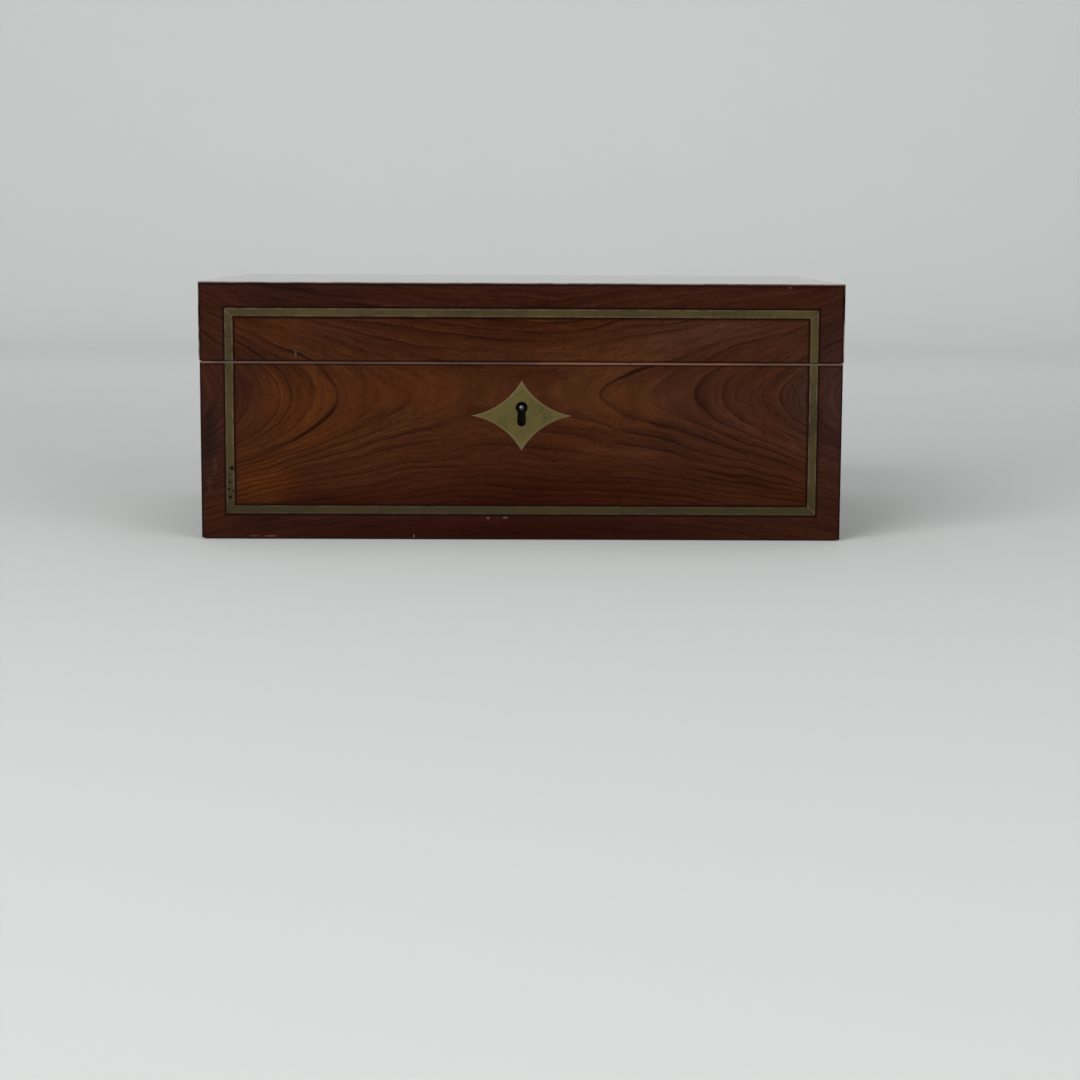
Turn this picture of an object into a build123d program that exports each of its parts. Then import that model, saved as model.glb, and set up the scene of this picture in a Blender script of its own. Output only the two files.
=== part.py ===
from build123d import *
import math
import os

# A brass-strung dressing case with a hinged lid, a box lock, a lift-out tray and four glass jars.
# Millimetres, +Z up, front towards -Y, left towards -X. The origin is the middle of the
# footprint, on the surface that the case stands on. Everything is drawn with the lid shut,
# the bolt drawn back and the tray and jars seated.

# Outer sizes
WIDTH = 280.0
DEPTH = 196.0
HEIGHT = 112.0
LID_HEIGHT = 34.0
SPLIT_GAP = 0.3          # between the two rims with the lid shut
LID_PROUD = 0.4          # how far the lid stands past the base at each end

# Carcass boards and their skins
WALL = 8.0
TOP_BOARD = 7.0
BOTTOM_BOARD = 6.0
VENEER = 1.2
RIM_FACING = 0.9
BAIZE = 0.6
BAIZE_INSET = 1.5
LINING = 0.5
FLOOR_LINING = 0.8

# Brass line let into the front and the top
STRING_INSET = 11.3
STRING_WIDTH = 3.5

# Keyhole plate, a diamond with hollow sides
ESCUTCHEON_WIDTH = 44.5
ESCUTCHEON_HEIGHT = 30.5
ESCUTCHEON_HOLLOW = 3.1
ESCUTCHEON_DROP = 23.2   # base rim to the middle of the plate

# Keyhole
KEY_DROP = 19.7          # base rim to the key's axis
KEY_R = 2.6
KEY_SLOT_TOP = 3.3
KEY_SLOT_FOOT = 3.9
KEY_SLOT_DROP = 8.2      # key's axis to the foot of the slot
DRILL_PIN_R = 1.1
DRILL_PIN_SHORT = 1.4    # how far the pin stops behind the front face

# Box lock
LOCK_WIDTH = 58.0
LOCK_PLATE = 1.4
LOCK_PLATE_DROP = 34.0   # base rim to the foot of the lock plate
LOCK_DEPTH = 6.4         # from the wall's inner face to the front of the lock
LOCK_EAR = 6.0           # plate left bare for the screws, each side of the cap
LOCK_CAP_DROP = 30.0
LOCK_CAP = 1.0
LOCK_PLAY = 0.5          # free room for the bolt between plate and cap, each side
BOLT_TRAVEL = 4.0
BOLT_BAR = 4.5
TALON_WIDTH = 6.0
TALON_DEPTH = 2.2
SPRING_THICKNESS = 0.5
SPRING_SPAN = 12.0
SPRING_SEAT = 0.1
SPRING_KNEE = 0.35       # share of the spring's height where it bends back
SPRING_BEND_R = 1.0

# Link plate in the lid, with two hooks for the bolt
LINK_PLATE_LENGTH = 40.0
LINK_PLATE = 1.4
HOOK_SPACING = 17.0
HOOK_LENGTH = 10.0       # below the lid's rim
HOOK_REACH = 5.0
HOOK_SHANK = 2.0
HOOK_BEAK = 2.0
HOOK_THICKNESS = 2.0
HOOK_SLOT_ROOM = 0.7
NIB = 3.0
NIB_GAP = 0.4

# Hinges
HINGE_LENGTH = 34.0
HINGE_FROM_END = 55.0    # middle of a hinge to the end of the lid
HINGE_LEAF = 1.3
HINGE_LEAF_WIDTH = 6.0
BARREL_R = 2.5
BARREL_ROOM = 0.3
KNUCKLES = 5
KNUCKLE_GAP = 0.2
PIN_R = 1.0
PIN_FIT = 0.05
LID_OPENS = 95.0         # degrees, where the bevelled back edges meet
BEVEL_SLACK = 1.5        # degrees left between the bevels at that angle
BEVEL_OVERRUN = 1.0      # how far the bevel's cutter reaches past the back face

# Screws
SCREW_HEAD = 3.8
SCREW_SHANK = 2.0
SCREW_SLOT = 0.6
SCREW_SLOT_DEPTH = 0.4
SCREW_SIDES = 12         # flats round a screw, few because it repeats
PLATE_SCREW = 5.0
LEAF_SCREW = 7.0
LEAF_SCREW_EDGE = 0.2    # head of a leaf's screw to the edge of the leaf

# Jars in the row along the back
CELL = 48.0
PARTITION = 2.6
PARTITION_DROP = 14.0    # base rim to the top of the partitions
JAR_WIDTH = 45.0
JAR_CORNER = 8.0
JAR_SHOULDER = 3.0
JAR_BODY = 53.0
JAR_FLOOR = 7.0
NECK_INSET = 5.5         # side of the jar to the side of its neck
NECK_WALL = 3.0
NECK_HEIGHT = 9.0
CAP_FIT = 0.3
CAP_WALL = 1.2
CAP_BEAD = 1.0
CAP_BEAD_HEIGHT = 1.8
CAP_BEAD_BEVEL = 0.6
CAP_SIDE = 11.4
CAP_CROWN = 2.4
CAP_MARGIN = 2.5         # foot of the raised panel to the crown's bevel
CAP_PANEL = 1.0
CAP_PANEL_BEVEL = 0.6
SEAT_GAP = 0.1           # under what stands loose in the case

# Lift-out tray
TRAY_ROOM = 0.8
TRAY_HEIGHT = 30.0
TRAY_DROP = 1.2          # base rim to the top of the tray
TRAY_WALL = 4.0
TRAY_FLOOR = 3.0
TRAY_PARTITION = 3.0
TRAY_PARTITION_DROP = 3.0
TRAY_BAY = 62.0          # width of the bays at each end
TRAY_SMALL_BAY = 40.0    # front to back of the smaller bay at each end
TRAY_PAD = 1.2
TRAY_PAD_EDGE = 0.5
SCOOP_R = 12.0
SCOOP_DEPTH = 9.0
LEDGE = 5.0
LEDGE_HEIGHT = 6.0

# Mirror in the lid
MIRROR_BACKING = 2.0
MIRROR_GLASS = 3.0
MIRROR_FRAME_WIDTH = 26.0
MIRROR_LIP = 4.0
MIRROR_LIP_THICKNESS = 3.0
MIRROR_BEVEL = 1.2
MIRROR_ROOM = 0.3

# Levels
LID_RIM_Z = HEIGHT - LID_HEIGHT
BASE_RIM_Z = LID_RIM_Z - SPLIT_GAP
AXIS_Z = (LID_RIM_Z + BASE_RIM_Z) / 2
FLOOR_Z = BAIZE + BOTTOM_BOARD
TOP_Z = HEIGHT - VENEER
CEILING_Z = TOP_Z - TOP_BOARD
KEY_Z = BASE_RIM_Z - KEY_DROP

# Half widths, outside in
LID_X = WIDTH / 2
BASE_X = LID_X - LID_PROUD
BASE_IN_X = BASE_X - VENEER - WALL
LID_IN_X = LID_X - VENEER - WALL
BOX_Y = DEPTH / 2
BOARD_Y = BOX_Y - VENEER
IN_Y = BOARD_Y - WALL
LINED_X = BASE_IN_X - LINING
LINED_Y = IN_Y - LINING
STRING_X = LID_X - STRING_INSET
STRING_IN_X = STRING_X - STRING_WIDTH
LOCK_CAP_X = LOCK_WIDTH / 2 - LOCK_EAR
AXIS_Y = BOX_Y - BARREL_R
DIVIDER_Y = LINED_Y - CELL - PARTITION


def block(x, y, z):
    """Board or plate between two values on each axis."""
    size = (x[1] - x[0], y[1] - y[0], z[1] - z[0])
    middle = ((x[0] + x[1]) / 2, (y[0] + y[1]) / 2, (z[0] + z[1]) / 2)
    return Pos(*middle) * Box(*size)


def both(half):
    """The two ends of a span that is centred on the case."""
    return (-half, half)


def standing(outline, front_y, back_y):
    """Plate parallel to the front, from its outline in X and Z."""
    face = Plane.XZ.offset(-back_y) * outline
    return extrude(face, amount=back_y - front_y, dir=(0, -1, 0))


def lying(outline, low_z, high_z):
    """Plate parallel to the floor, from its outline in X and Y."""
    return extrude(Pos(0, 0, low_z) * outline, amount=high_z - low_z, dir=(0, 0, 1))


def strips(outer, inner, sides):
    """Outlines of mitred strips between two rectangles, each given as x0, y0, x1, y1."""
    x0, y0, x1, y1 = outer
    u0, v0, u1, v1 = inner
    corners = {
        "low": ((x0, y0), (x1, y0), (u1, v0), (u0, v0)),
        "right": ((x1, y0), (x1, y1), (u1, v1), (u1, v0)),
        "high": ((x1, y1), (x0, y1), (u0, v1), (u1, v1)),
        "left": ((x0, y1), (x0, y0), (u0, v0), (u0, v1)),
    }
    return {side: Polygon(*corners[side]) for side in sides}


def rectangle(half_x, half_y):
    """A centred rectangle as x0, y0, x1, y1."""
    return (-half_x, -half_y, half_x, half_y)


def group(solids):
    """Several separate solids that share one node."""
    return Compound(children=list(solids))


def cut_all(solid, cutters):
    """A solid after each of the cutters has been taken from it."""
    for cutter in cutters:
        solid = solid - cutter
    return solid


# Cutters that several pieces share

def back_bevel(up):
    """Wedge that bevels a back edge, from the hinge axis out past the back face."""
    past = BARREL_R + BEVEL_OVERRUN
    rise = past * math.tan(math.radians((LID_OPENS + BEVEL_SLACK) / 2))
    tip = AXIS_Z + (rise if up else -rise)
    outline = Polygon((AXIS_Y, AXIS_Z), (AXIS_Y + past, AXIS_Z), (AXIS_Y + past, tip))
    return extrude(Plane.YZ.offset(-LID_X) * outline, amount=WIDTH, dir=(1, 0, 0))


def rod(x, radius):
    """Round bar along the hinge axis."""
    length = x[1] - x[0]
    return Pos((x[0] + x[1]) / 2, AXIS_Y, AXIS_Z) * Rot(0, 90, 0) * Cylinder(radius, length)


def hinge_middles():
    """Where the two hinges are along the case."""
    offset = LID_X - HINGE_FROM_END
    return (-offset, offset)


def hinge_span(middle, room=0.0):
    """The two ends of a hinge."""
    half = HINGE_LENGTH / 2 + room
    return (middle - half, middle + half)


def leaf_levels(in_lid):
    """Underside and top of a hinge leaf."""
    if in_lid:
        return (LID_RIM_Z, LID_RIM_Z + HINGE_LEAF)
    return (BASE_RIM_Z - HINGE_LEAF, BASE_RIM_Z)


def hinge_pockets(in_lid):
    """What the hinges need cut from a back rim: leaf beds, barrel coves and the bevel."""
    cuts = [back_bevel(up=in_lid)]
    for middle in hinge_middles():
        bed = block(hinge_span(middle), (AXIS_Y - HINGE_LEAF_WIDTH, AXIS_Y), leaf_levels(in_lid))
        cuts.append(bed)
        cuts.append(rod(hinge_span(middle, BARREL_ROOM), BARREL_R + BARREL_ROOM))
    return cuts


def keyhole(front_y, back_y):
    """Round hole and flared slot for the key, between two depths."""
    foot_r = KEY_SLOT_FOOT / 2
    foot_z = KEY_Z - KEY_SLOT_DROP + foot_r
    slot = Polygon(
        (-KEY_SLOT_TOP / 2, KEY_Z),
        (-foot_r, foot_z),
        (foot_r, foot_z),
        (KEY_SLOT_TOP / 2, KEY_Z),
    )
    outline = slot + Pos(0, KEY_Z) * Circle(KEY_R) + Pos(0, foot_z) * Circle(foot_r)
    return standing(outline, front_y, back_y)


def escutcheon_outline():
    """Diamond with four hollow sides."""
    middle = BASE_RIM_Z - ESCUTCHEON_DROP
    right = (ESCUTCHEON_WIDTH / 2, middle)
    top = (0, middle + ESCUTCHEON_HEIGHT / 2)
    left = (-ESCUTCHEON_WIDTH / 2, middle)
    foot = (0, middle - ESCUTCHEON_HEIGHT / 2)
    corners = (right, top, left, foot, right)
    sides = [SagittaArc(a, b, ESCUTCHEON_HOLLOW) for a, b in zip(corners, corners[1:])]
    return make_face(sides)


def screw_blank(at, along, length):
    """Countersunk wood screw before its slot, the face of its head at a point."""
    head = SCREW_HEAD / 2
    shank = SCREW_SHANK / 2
    wide = RegularPolygon(head, SCREW_SIDES)
    narrow = RegularPolygon(shank, SCREW_SIDES)
    countersink = loft([wide, Pos(0, 0, head - shank) * narrow], ruled=True)
    blank = countersink + extrude(Pos(0, 0, head - shank) * narrow, amount=length - head + shank)
    return Plane(origin=at, z_dir=along) * blank


def screw(at, along, length):
    """Countersunk wood screw with a slotted head."""
    slot = Pos(0, 0, SCREW_SLOT_DEPTH / 2) * Box(SCREW_HEAD, SCREW_SLOT, SCREW_SLOT_DEPTH)
    return screw_blank(at, along, length) - Plane(origin=at, z_dir=along) * slot


def lock_screw_places():
    """Head, direction and length of the screws that hold the lock."""
    x = (LOCK_WIDTH / 2 + LOCK_CAP_X) / 2
    low = BASE_RIM_Z - LOCK_PLATE_DROP + SCREW_HEAD
    high = BASE_RIM_Z - LOCK_PLATE - SCREW_HEAD
    return [((side * x, -IN_Y, z), (0, -1, 0), PLATE_SCREW) for side in (-1, 1) for z in (low, high)]


def leaf_screw_places(in_lid):
    """Head, direction and length of the screws in the hinge leaves, beside their own knuckles."""
    pitch = HINGE_LENGTH / KNUCKLES
    own = range(1, KNUCKLES, 2) if in_lid else range(0, KNUCKLES, 2)
    y = AXIS_Y - HINGE_LEAF_WIDTH + SCREW_HEAD / 2 + LEAF_SCREW_EDGE
    z = LID_RIM_Z if in_lid else BASE_RIM_Z
    along = (0, 0, 1) if in_lid else (0, 0, -1)
    places = []
    for middle in hinge_middles():
        for knuckle in own:
            x = middle + (knuckle - (KNUCKLES - 1) / 2) * pitch
            places.append(((x, y, z), along, LEAF_SCREW))
    return places


def link_screw_places():
    """Head, direction and length of the screws in the link plate."""
    hook_end = (HOOK_SPACING + HOOK_REACH) / 2
    x = (LINK_PLATE_LENGTH / 2 + hook_end) / 2
    return [((side * x, link_middle_y(), LID_RIM_Z), (0, 0, 1), LEAF_SCREW) for side in (-1, 1)]


def blanks(places):
    """Screw blanks, for cutting the holes that the screws sit in."""
    return [screw_blank(*place) for place in places]


# Base carcass

def base_walls():
    """Four mitred boards on top of the bottom board."""
    outer = rectangle(BASE_X - VENEER, BOARD_Y)
    inner = rectangle(BASE_IN_X, IN_Y)
    outlines = strips(outer, inner, ("low", "right", "high", "left"))
    top = BASE_RIM_Z - RIM_FACING
    boards = {side: lying(outline, FLOOR_Z, top) for side, outline in outlines.items()}
    front = cut_all(boards["low"], lock_pocket() + blanks(lock_screw_places()))
    back = cut_all(boards["high"], hinge_pockets(in_lid=False) + blanks(leaf_screw_places(False)))
    bevel = back_bevel(up=False)
    return {
        "base_front_wall": front,
        "base_back_wall": back,
        "base_left_wall": boards["left"] - bevel,
        "base_right_wall": boards["right"] - bevel,
    }


def base_bottom_board():
    """Board under the walls."""
    return block(both(BASE_X - VENEER), both(BOARD_Y), (BAIZE, FLOOR_Z))


def baize_underside():
    """Cloth that the case stands on."""
    return block(both(BASE_X - BAIZE_INSET), both(BOX_Y - BAIZE_INSET), (0, BAIZE))


def base_front_veneer():
    """Figured sheet inside the brass line."""
    sheet = block(both(STRING_IN_X), (-BOX_Y, -BOARD_Y), (STRING_INSET + STRING_WIDTH, veneer_top()))
    return sheet - standing(escutcheon_outline(), -BOX_Y, -BOARD_Y)


def veneer_top():
    """Level where the base's veneers stop, under the rim facing."""
    return BASE_RIM_Z - RIM_FACING


def base_front_banding():
    """Straight-grained band outside the brass line."""
    outer = (-BASE_X, BAIZE, BASE_X, veneer_top())
    inner = (-STRING_X, STRING_INSET, STRING_X, veneer_top())
    outlines = strips(outer, inner, ("left", "low", "right"))
    return group(standing(outline, -BOX_Y, -BOARD_Y) for outline in outlines.values())


def base_stringing():
    """Brass line on the base, mitred at its two corners."""
    outer = (-STRING_X, STRING_INSET, STRING_X, veneer_top())
    inner = (-STRING_IN_X, STRING_INSET + STRING_WIDTH, STRING_IN_X, veneer_top())
    outlines = strips(outer, inner, ("left", "low", "right"))
    return group(standing(outline, -BOX_Y, -BOARD_Y) for outline in outlines.values())


def base_side_veneers():
    """Sheets on the two ends of the base."""
    bevel = back_bevel(up=False)
    ends = []
    for side in (-1, 1):
        x = sorted((side * (BASE_X - VENEER), side * BASE_X))
        ends.append(block(x, both(BOARD_Y), (BAIZE, veneer_top())) - bevel)
    return group(ends)


def base_back_veneer():
    """Sheet on the back of the base, cut for the hinges."""
    sheet = block(both(BASE_X), (BOARD_Y, BOX_Y), (BAIZE, veneer_top()))
    return cut_all(sheet, hinge_pockets(in_lid=False))


def base_rim_facing():
    """Thin strips that cover the sawn rim of the base."""
    outlines = strips(rectangle(BASE_X, BOX_Y), rectangle(BASE_IN_X, IN_Y), ("low", "right", "high", "left"))
    cuts = hinge_pockets(in_lid=False) + lock_pocket() + blanks(leaf_screw_places(False))
    facings = [lying(outline, BASE_RIM_Z - RIM_FACING, BASE_RIM_Z) for outline in outlines.values()]
    return group(cut_all(facing, cuts) for facing in facings)


def keyhole_escutcheon():
    """Brass keyhole plate let in flush with the front."""
    plate = standing(escutcheon_outline(), -BOX_Y, -BOARD_Y)
    return plate - keyhole(-BOX_Y, -BOARD_Y)


# Box lock

def lock_front_y():
    """Depth of the front of the lock inside the front wall."""
    return -IN_Y - LOCK_DEPTH


def lock_room():
    """Front and back of the space that the bolt runs in."""
    return (lock_front_y() + LOCK_CAP, -IN_Y - LOCK_PLATE)


def bolt_depth():
    """Front and back of the bolt."""
    front, back = lock_room()
    return (front + LOCK_PLAY, back - LOCK_PLAY)


def hook_depth():
    """Front and back of the hooks, in the middle of the bolt's room."""
    middle = sum(lock_room()) / 2
    return (middle - HOOK_THICKNESS / 2, middle + HOOK_THICKNESS / 2)


def link_middle_y():
    """Depth of the middle of the link plate."""
    return sum(lock_room()) / 2


def hook_tips():
    """Left end of each hook's beak, which points left."""
    return (-HOOK_SPACING / 2 - HOOK_REACH / 2, HOOK_SPACING / 2 - HOOK_REACH / 2)


def beak_top():
    """Level of the upper face of the hooks' beaks."""
    return LID_RIM_Z - HOOK_LENGTH + HOOK_BEAK


def bar_top():
    """Level of the upper edge of the bolt's bar, clear under the hooks."""
    return LID_RIM_Z - HOOK_LENGTH - HOOK_BEAK


def lock_pocket():
    """What the lock needs cut from the front wall and its rim."""
    front = lock_front_y()
    plate_foot = BASE_RIM_Z - LOCK_PLATE_DROP
    cap_foot = BASE_RIM_Z - LOCK_CAP_DROP
    plate_bed = block(both(LOCK_WIDTH / 2), (-IN_Y - LOCK_PLATE, -IN_Y), (plate_foot, BASE_RIM_Z))
    selvedge_bed = block(both(LOCK_WIDTH / 2), (front, -IN_Y), (BASE_RIM_Z - LOCK_PLATE, BASE_RIM_Z))
    works_bed = block(both(LOCK_CAP_X), (front, -IN_Y), (cap_foot, BASE_RIM_Z))
    return [plate_bed, selvedge_bed, works_bed, keyhole(-BOARD_Y, front)]


def lock_plate():
    """Back plate and selvedge in one piece, with a slot in the selvedge for each hook."""
    foot = BASE_RIM_Z - LOCK_PLATE_DROP
    plate = block(both(LOCK_WIDTH / 2), (-IN_Y - LOCK_PLATE, -IN_Y), (foot, BASE_RIM_Z))
    selvedge = block(both(LOCK_WIDTH / 2), (lock_front_y(), -IN_Y), (BASE_RIM_Z - LOCK_PLATE, BASE_RIM_Z))
    body = plate + selvedge
    for tip in hook_tips():
        x = (tip - HOOK_SLOT_ROOM, tip + HOOK_REACH + HOOK_SLOT_ROOM)
        body = body - block(x, lock_room(), (BASE_RIM_Z - LOCK_PLATE, BASE_RIM_Z))
    body = body - drill_pin_rod(0)
    return cut_all(body, blanks(lock_screw_places()))


def lock_cap():
    """Folded cover over the bolt, towards the keyhole."""
    foot = BASE_RIM_Z - LOCK_CAP_DROP
    top = BASE_RIM_Z - LOCK_PLATE
    front = lock_front_y()
    cover = block(both(LOCK_CAP_X), (front, -IN_Y - LOCK_PLATE), (foot, top))
    room = block(both(LOCK_CAP_X - LOCK_CAP), lock_room(), (foot + LOCK_CAP, top))
    return cover - room - keyhole(front, front + LOCK_CAP)


def drill_pin_rod(short):
    """Round pin on the key's axis, through the lock plate towards the keyhole."""
    front = -BOX_Y + DRILL_PIN_SHORT + short
    return standing(Pos(0, KEY_Z) * Circle(DRILL_PIN_R), front, -IN_Y)


def lock_drill_pin():
    """Pin that a hollow key turns on."""
    return drill_pin_rod(0)


def lock_bolt():
    """Sliding bar with two nibs that pass over the hooks, and a talon for the key."""
    nib_low = beak_top() + NIB_GAP
    bar_foot = bar_top() - BOLT_BAR
    drawn_back = BOLT_TRAVEL + NIB_GAP
    tips = hook_tips()
    left_end = tips[0] - drawn_back - BOLT_TRAVEL
    outline = Polygon(
        (left_end, bar_foot),
        (tips[1] + HOOK_SHANK, bar_foot),
        (tips[1] + HOOK_SHANK, bar_top()),
        (left_end, bar_top()),
    )
    for tip in tips:
        nib_end = tip + HOOK_REACH - HOOK_SHANK - drawn_back
        post_left = tip - drawn_back - BOLT_TRAVEL
        post_right = tip - drawn_back - NIB_GAP / 2
        post = Polygon(
            (post_left, bar_foot + TALON_DEPTH),
            (post_right, bar_foot + TALON_DEPTH),
            (post_right, nib_low),
            (nib_end, nib_low),
            (nib_end, nib_low + NIB),
            (post_left, nib_low + NIB),
        )
        outline = outline + post
    talon = Pos(-BOLT_TRAVEL / 2, bar_foot + TALON_DEPTH / 2) * Rectangle(TALON_WIDTH, TALON_DEPTH)
    front, back = bolt_depth()
    return standing(outline - talon, front, back)


def lock_spring():
    """Folded leaf spring under the bolt's tail."""
    low = BASE_RIM_Z - LOCK_CAP_DROP + LOCK_CAP + SPRING_THICKNESS / 2
    high = bar_top() - BOLT_BAR - SPRING_SEAT - SPRING_THICKNESS / 2
    left = -LOCK_CAP_X + LOCK_CAP + SPRING_THICKNESS
    knee = (left, low + (high - low) * SPRING_KNEE)
    turns = ((left + SPRING_SPAN, low), (left, low), knee, (left + SPRING_SPAN, high))
    route = FilletPolyline(*turns, radius=SPRING_BEND_R)
    front, back = bolt_depth()
    return standing(trace(route, SPRING_THICKNESS), front + LOCK_PLAY, back - LOCK_PLAY)


def link_plate():
    """Plate in the lid's rim with two hooks that drop through the lock's selvedge."""
    front, back = lock_room()
    plate = block(both(LINK_PLATE_LENGTH / 2), (front - LOCK_CAP, back), (LID_RIM_Z, LID_RIM_Z + LINK_PLATE))
    for tip in hook_tips():
        foot = LID_RIM_Z - HOOK_LENGTH
        end = tip + HOOK_REACH
        hook = Polygon(
            (tip, foot),
            (end, foot),
            (end, LID_RIM_Z),
            (end - HOOK_SHANK, LID_RIM_Z),
            (end - HOOK_SHANK, beak_top()),
            (tip, beak_top()),
        )
        plate = plate + standing(hook, *hook_depth())
    return cut_all(plate, blanks(link_screw_places()))


def link_pocket():
    """What the link plate needs cut from the lid's rim."""
    front, back = lock_room()
    bed = block(both(LINK_PLATE_LENGTH / 2), (front - LOCK_CAP, back), (LID_RIM_Z, LID_RIM_Z + LINK_PLATE))
    return [bed] + blanks(link_screw_places())


# Hinges

def knuckle_span(middle, index):
    """The two ends of one knuckle."""
    pitch = HINGE_LENGTH / KNUCKLES
    left = middle - HINGE_LENGTH / 2 + index * pitch
    return (left + KNUCKLE_GAP / 2, left + pitch - KNUCKLE_GAP / 2)


def hinge_leaf(middle, in_lid):
    """Leaf with its knuckles: the outer and middle ones in the base, the two between in the lid."""
    leaf = block(hinge_span(middle), (AXIS_Y - HINGE_LEAF_WIDTH, AXIS_Y), leaf_levels(in_lid))
    own = 1 if in_lid else 0
    for index in range(KNUCKLES):
        x = knuckle_span(middle, index)
        if index % 2 == own:
            leaf = leaf + rod(x, BARREL_R)
        else:
            room = (x[0] - KNUCKLE_GAP, x[1] + KNUCKLE_GAP)
            leaf = leaf - rod(room, BARREL_R + BARREL_ROOM)
    leaf = leaf - rod(hinge_span(middle), PIN_R + PIN_FIT)
    return cut_all(leaf, blanks(leaf_screw_places(in_lid)))


def hinge_leaves(in_lid):
    """The two leaves in the base or in the lid."""
    return group(hinge_leaf(middle, in_lid) for middle in hinge_middles())


def hinge_pins():
    """The pins that the two hinges turn on."""
    return group(rod(hinge_span(middle), PIN_R) for middle in hinge_middles())


# Lid

def lid_walls():
    """Four mitred boards under the top board."""
    outer = rectangle(LID_X - VENEER, BOARD_Y)
    inner = rectangle(LID_IN_X, IN_Y)
    outlines = strips(outer, inner, ("low", "right", "high", "left"))
    foot = LID_RIM_Z + RIM_FACING
    boards = {side: lying(outline, foot, CEILING_Z) for side, outline in outlines.items()}
    bevel = back_bevel(up=True)
    back = cut_all(boards["high"], hinge_pockets(in_lid=True) + blanks(leaf_screw_places(True)))
    return {
        "lid_front_wall": cut_all(boards["low"], link_pocket()),
        "lid_back_wall": back,
        "lid_left_wall": boards["left"] - bevel,
        "lid_right_wall": boards["right"] - bevel,
    }


def lid_top_board():
    """Board over the lid's walls."""
    return block(both(LID_X - VENEER), both(BOARD_Y), (CEILING_Z, TOP_Z))


def lid_front_veneer():
    """Figured sheet inside the brass line, sawn from the same sheet as the base's."""
    top = HEIGHT - STRING_INSET - STRING_WIDTH
    return block(both(STRING_IN_X), (-BOX_Y, -BOARD_Y), (LID_RIM_Z, top))


def lid_front_banding():
    """Band outside the brass line on the lid's front."""
    outer = (-LID_X, LID_RIM_Z, LID_X, TOP_Z)
    inner = (-STRING_X, LID_RIM_Z, STRING_X, HEIGHT - STRING_INSET)
    outlines = strips(outer, inner, ("left", "high", "right"))
    return group(standing(outline, -BOX_Y, -BOARD_Y) for outline in outlines.values())


def lid_front_stringing():
    """Brass line on the lid's front, mitred at its two corners."""
    outer = (-STRING_X, LID_RIM_Z, STRING_X, HEIGHT - STRING_INSET)
    inner = (-STRING_IN_X, LID_RIM_Z, STRING_IN_X, HEIGHT - STRING_INSET - STRING_WIDTH)
    outlines = strips(outer, inner, ("left", "high", "right"))
    return group(standing(outline, -BOX_Y, -BOARD_Y) for outline in outlines.values())


def top_rectangle(inset):
    """Rectangle on the top, a distance in from its edges."""
    return rectangle(LID_X - inset, BOX_Y - inset)


def lid_top_veneer():
    """Figured sheet inside the brass line on the top."""
    inset = STRING_INSET + STRING_WIDTH
    return block(both(LID_X - inset), both(BOX_Y - inset), (TOP_Z, HEIGHT))


def lid_top_banding():
    """Band outside the brass line on the top."""
    outlines = strips(top_rectangle(0), top_rectangle(STRING_INSET), ("low", "right", "high", "left"))
    return group(lying(outline, TOP_Z, HEIGHT) for outline in outlines.values())


def lid_top_stringing():
    """Brass line on the top."""
    outer = top_rectangle(STRING_INSET)
    inner = top_rectangle(STRING_INSET + STRING_WIDTH)
    outlines = strips(outer, inner, ("low", "right", "high", "left"))
    return group(lying(outline, TOP_Z, HEIGHT) for outline in outlines.values())


def lid_side_veneers():
    """Sheets on the two ends of the lid."""
    bevel = back_bevel(up=True)
    ends = []
    for side in (-1, 1):
        x = sorted((side * (LID_X - VENEER), side * LID_X))
        ends.append(block(x, both(BOARD_Y), (LID_RIM_Z, TOP_Z)) - bevel)
    return group(ends)


def lid_back_veneer():
    """Sheet on the back of the lid, cut for the hinges."""
    sheet = block(both(LID_X), (BOARD_Y, BOX_Y), (LID_RIM_Z, TOP_Z))
    return cut_all(sheet, hinge_pockets(in_lid=True))


def lid_rim_facing():
    """Thin strips that cover the sawn rim of the lid, inside its veneers."""
    outer = rectangle(LID_X - VENEER, BOARD_Y)
    outlines = strips(outer, rectangle(LID_IN_X, IN_Y), ("low", "right", "high", "left"))
    cuts = hinge_pockets(in_lid=True) + link_pocket() + blanks(leaf_screw_places(True))
    facings = [lying(outline, LID_RIM_Z, LID_RIM_Z + RIM_FACING) for outline in outlines.values()]
    return group(cut_all(facing, cuts) for facing in facings)


# Mirror

def mirror_half_sizes():
    """Half width and half depth of the panel that fills the lid."""
    return (LID_IN_X - MIRROR_ROOM, IN_Y - MIRROR_ROOM)


def mirror_backing():
    """Thin board behind the mirror."""
    half_x, half_y = mirror_half_sizes()
    return block(both(half_x), both(half_y), (CEILING_Z - MIRROR_BACKING, CEILING_Z))


def mirror_glass():
    """Looking glass with a bevelled front edge."""
    half_x, half_y = mirror_half_sizes()
    rebate = MIRROR_FRAME_WIDTH - MIRROR_LIP
    top = CEILING_Z - MIRROR_BACKING
    glass = block(both(half_x - rebate), both(half_y - rebate), (top - MIRROR_GLASS, top))
    return chamfer(glass.faces().sort_by(Axis.Z)[0].edges(), MIRROR_BEVEL)


def mirror_frame():
    """Covered frame round the mirror, four mitred strips with a lip over the glass."""
    half_x, half_y = mirror_half_sizes()
    rebate = MIRROR_FRAME_WIDTH - MIRROR_LIP
    top = CEILING_Z - MIRROR_BACKING
    lip_top = top - MIRROR_GLASS
    foot = lip_top - MIRROR_LIP_THICKNESS
    outer = rectangle(half_x, half_y)
    sight = rectangle(half_x - MIRROR_FRAME_WIDTH, half_y - MIRROR_FRAME_WIDTH)
    glass_bed = block(both(half_x - rebate), both(half_y - rebate), (lip_top, top))
    outlines = strips(outer, sight, ("low", "right", "high", "left"))
    return group(lying(outline, foot, top) - glass_bed for outline in outlines.values())


# Fittings inside the base

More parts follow.
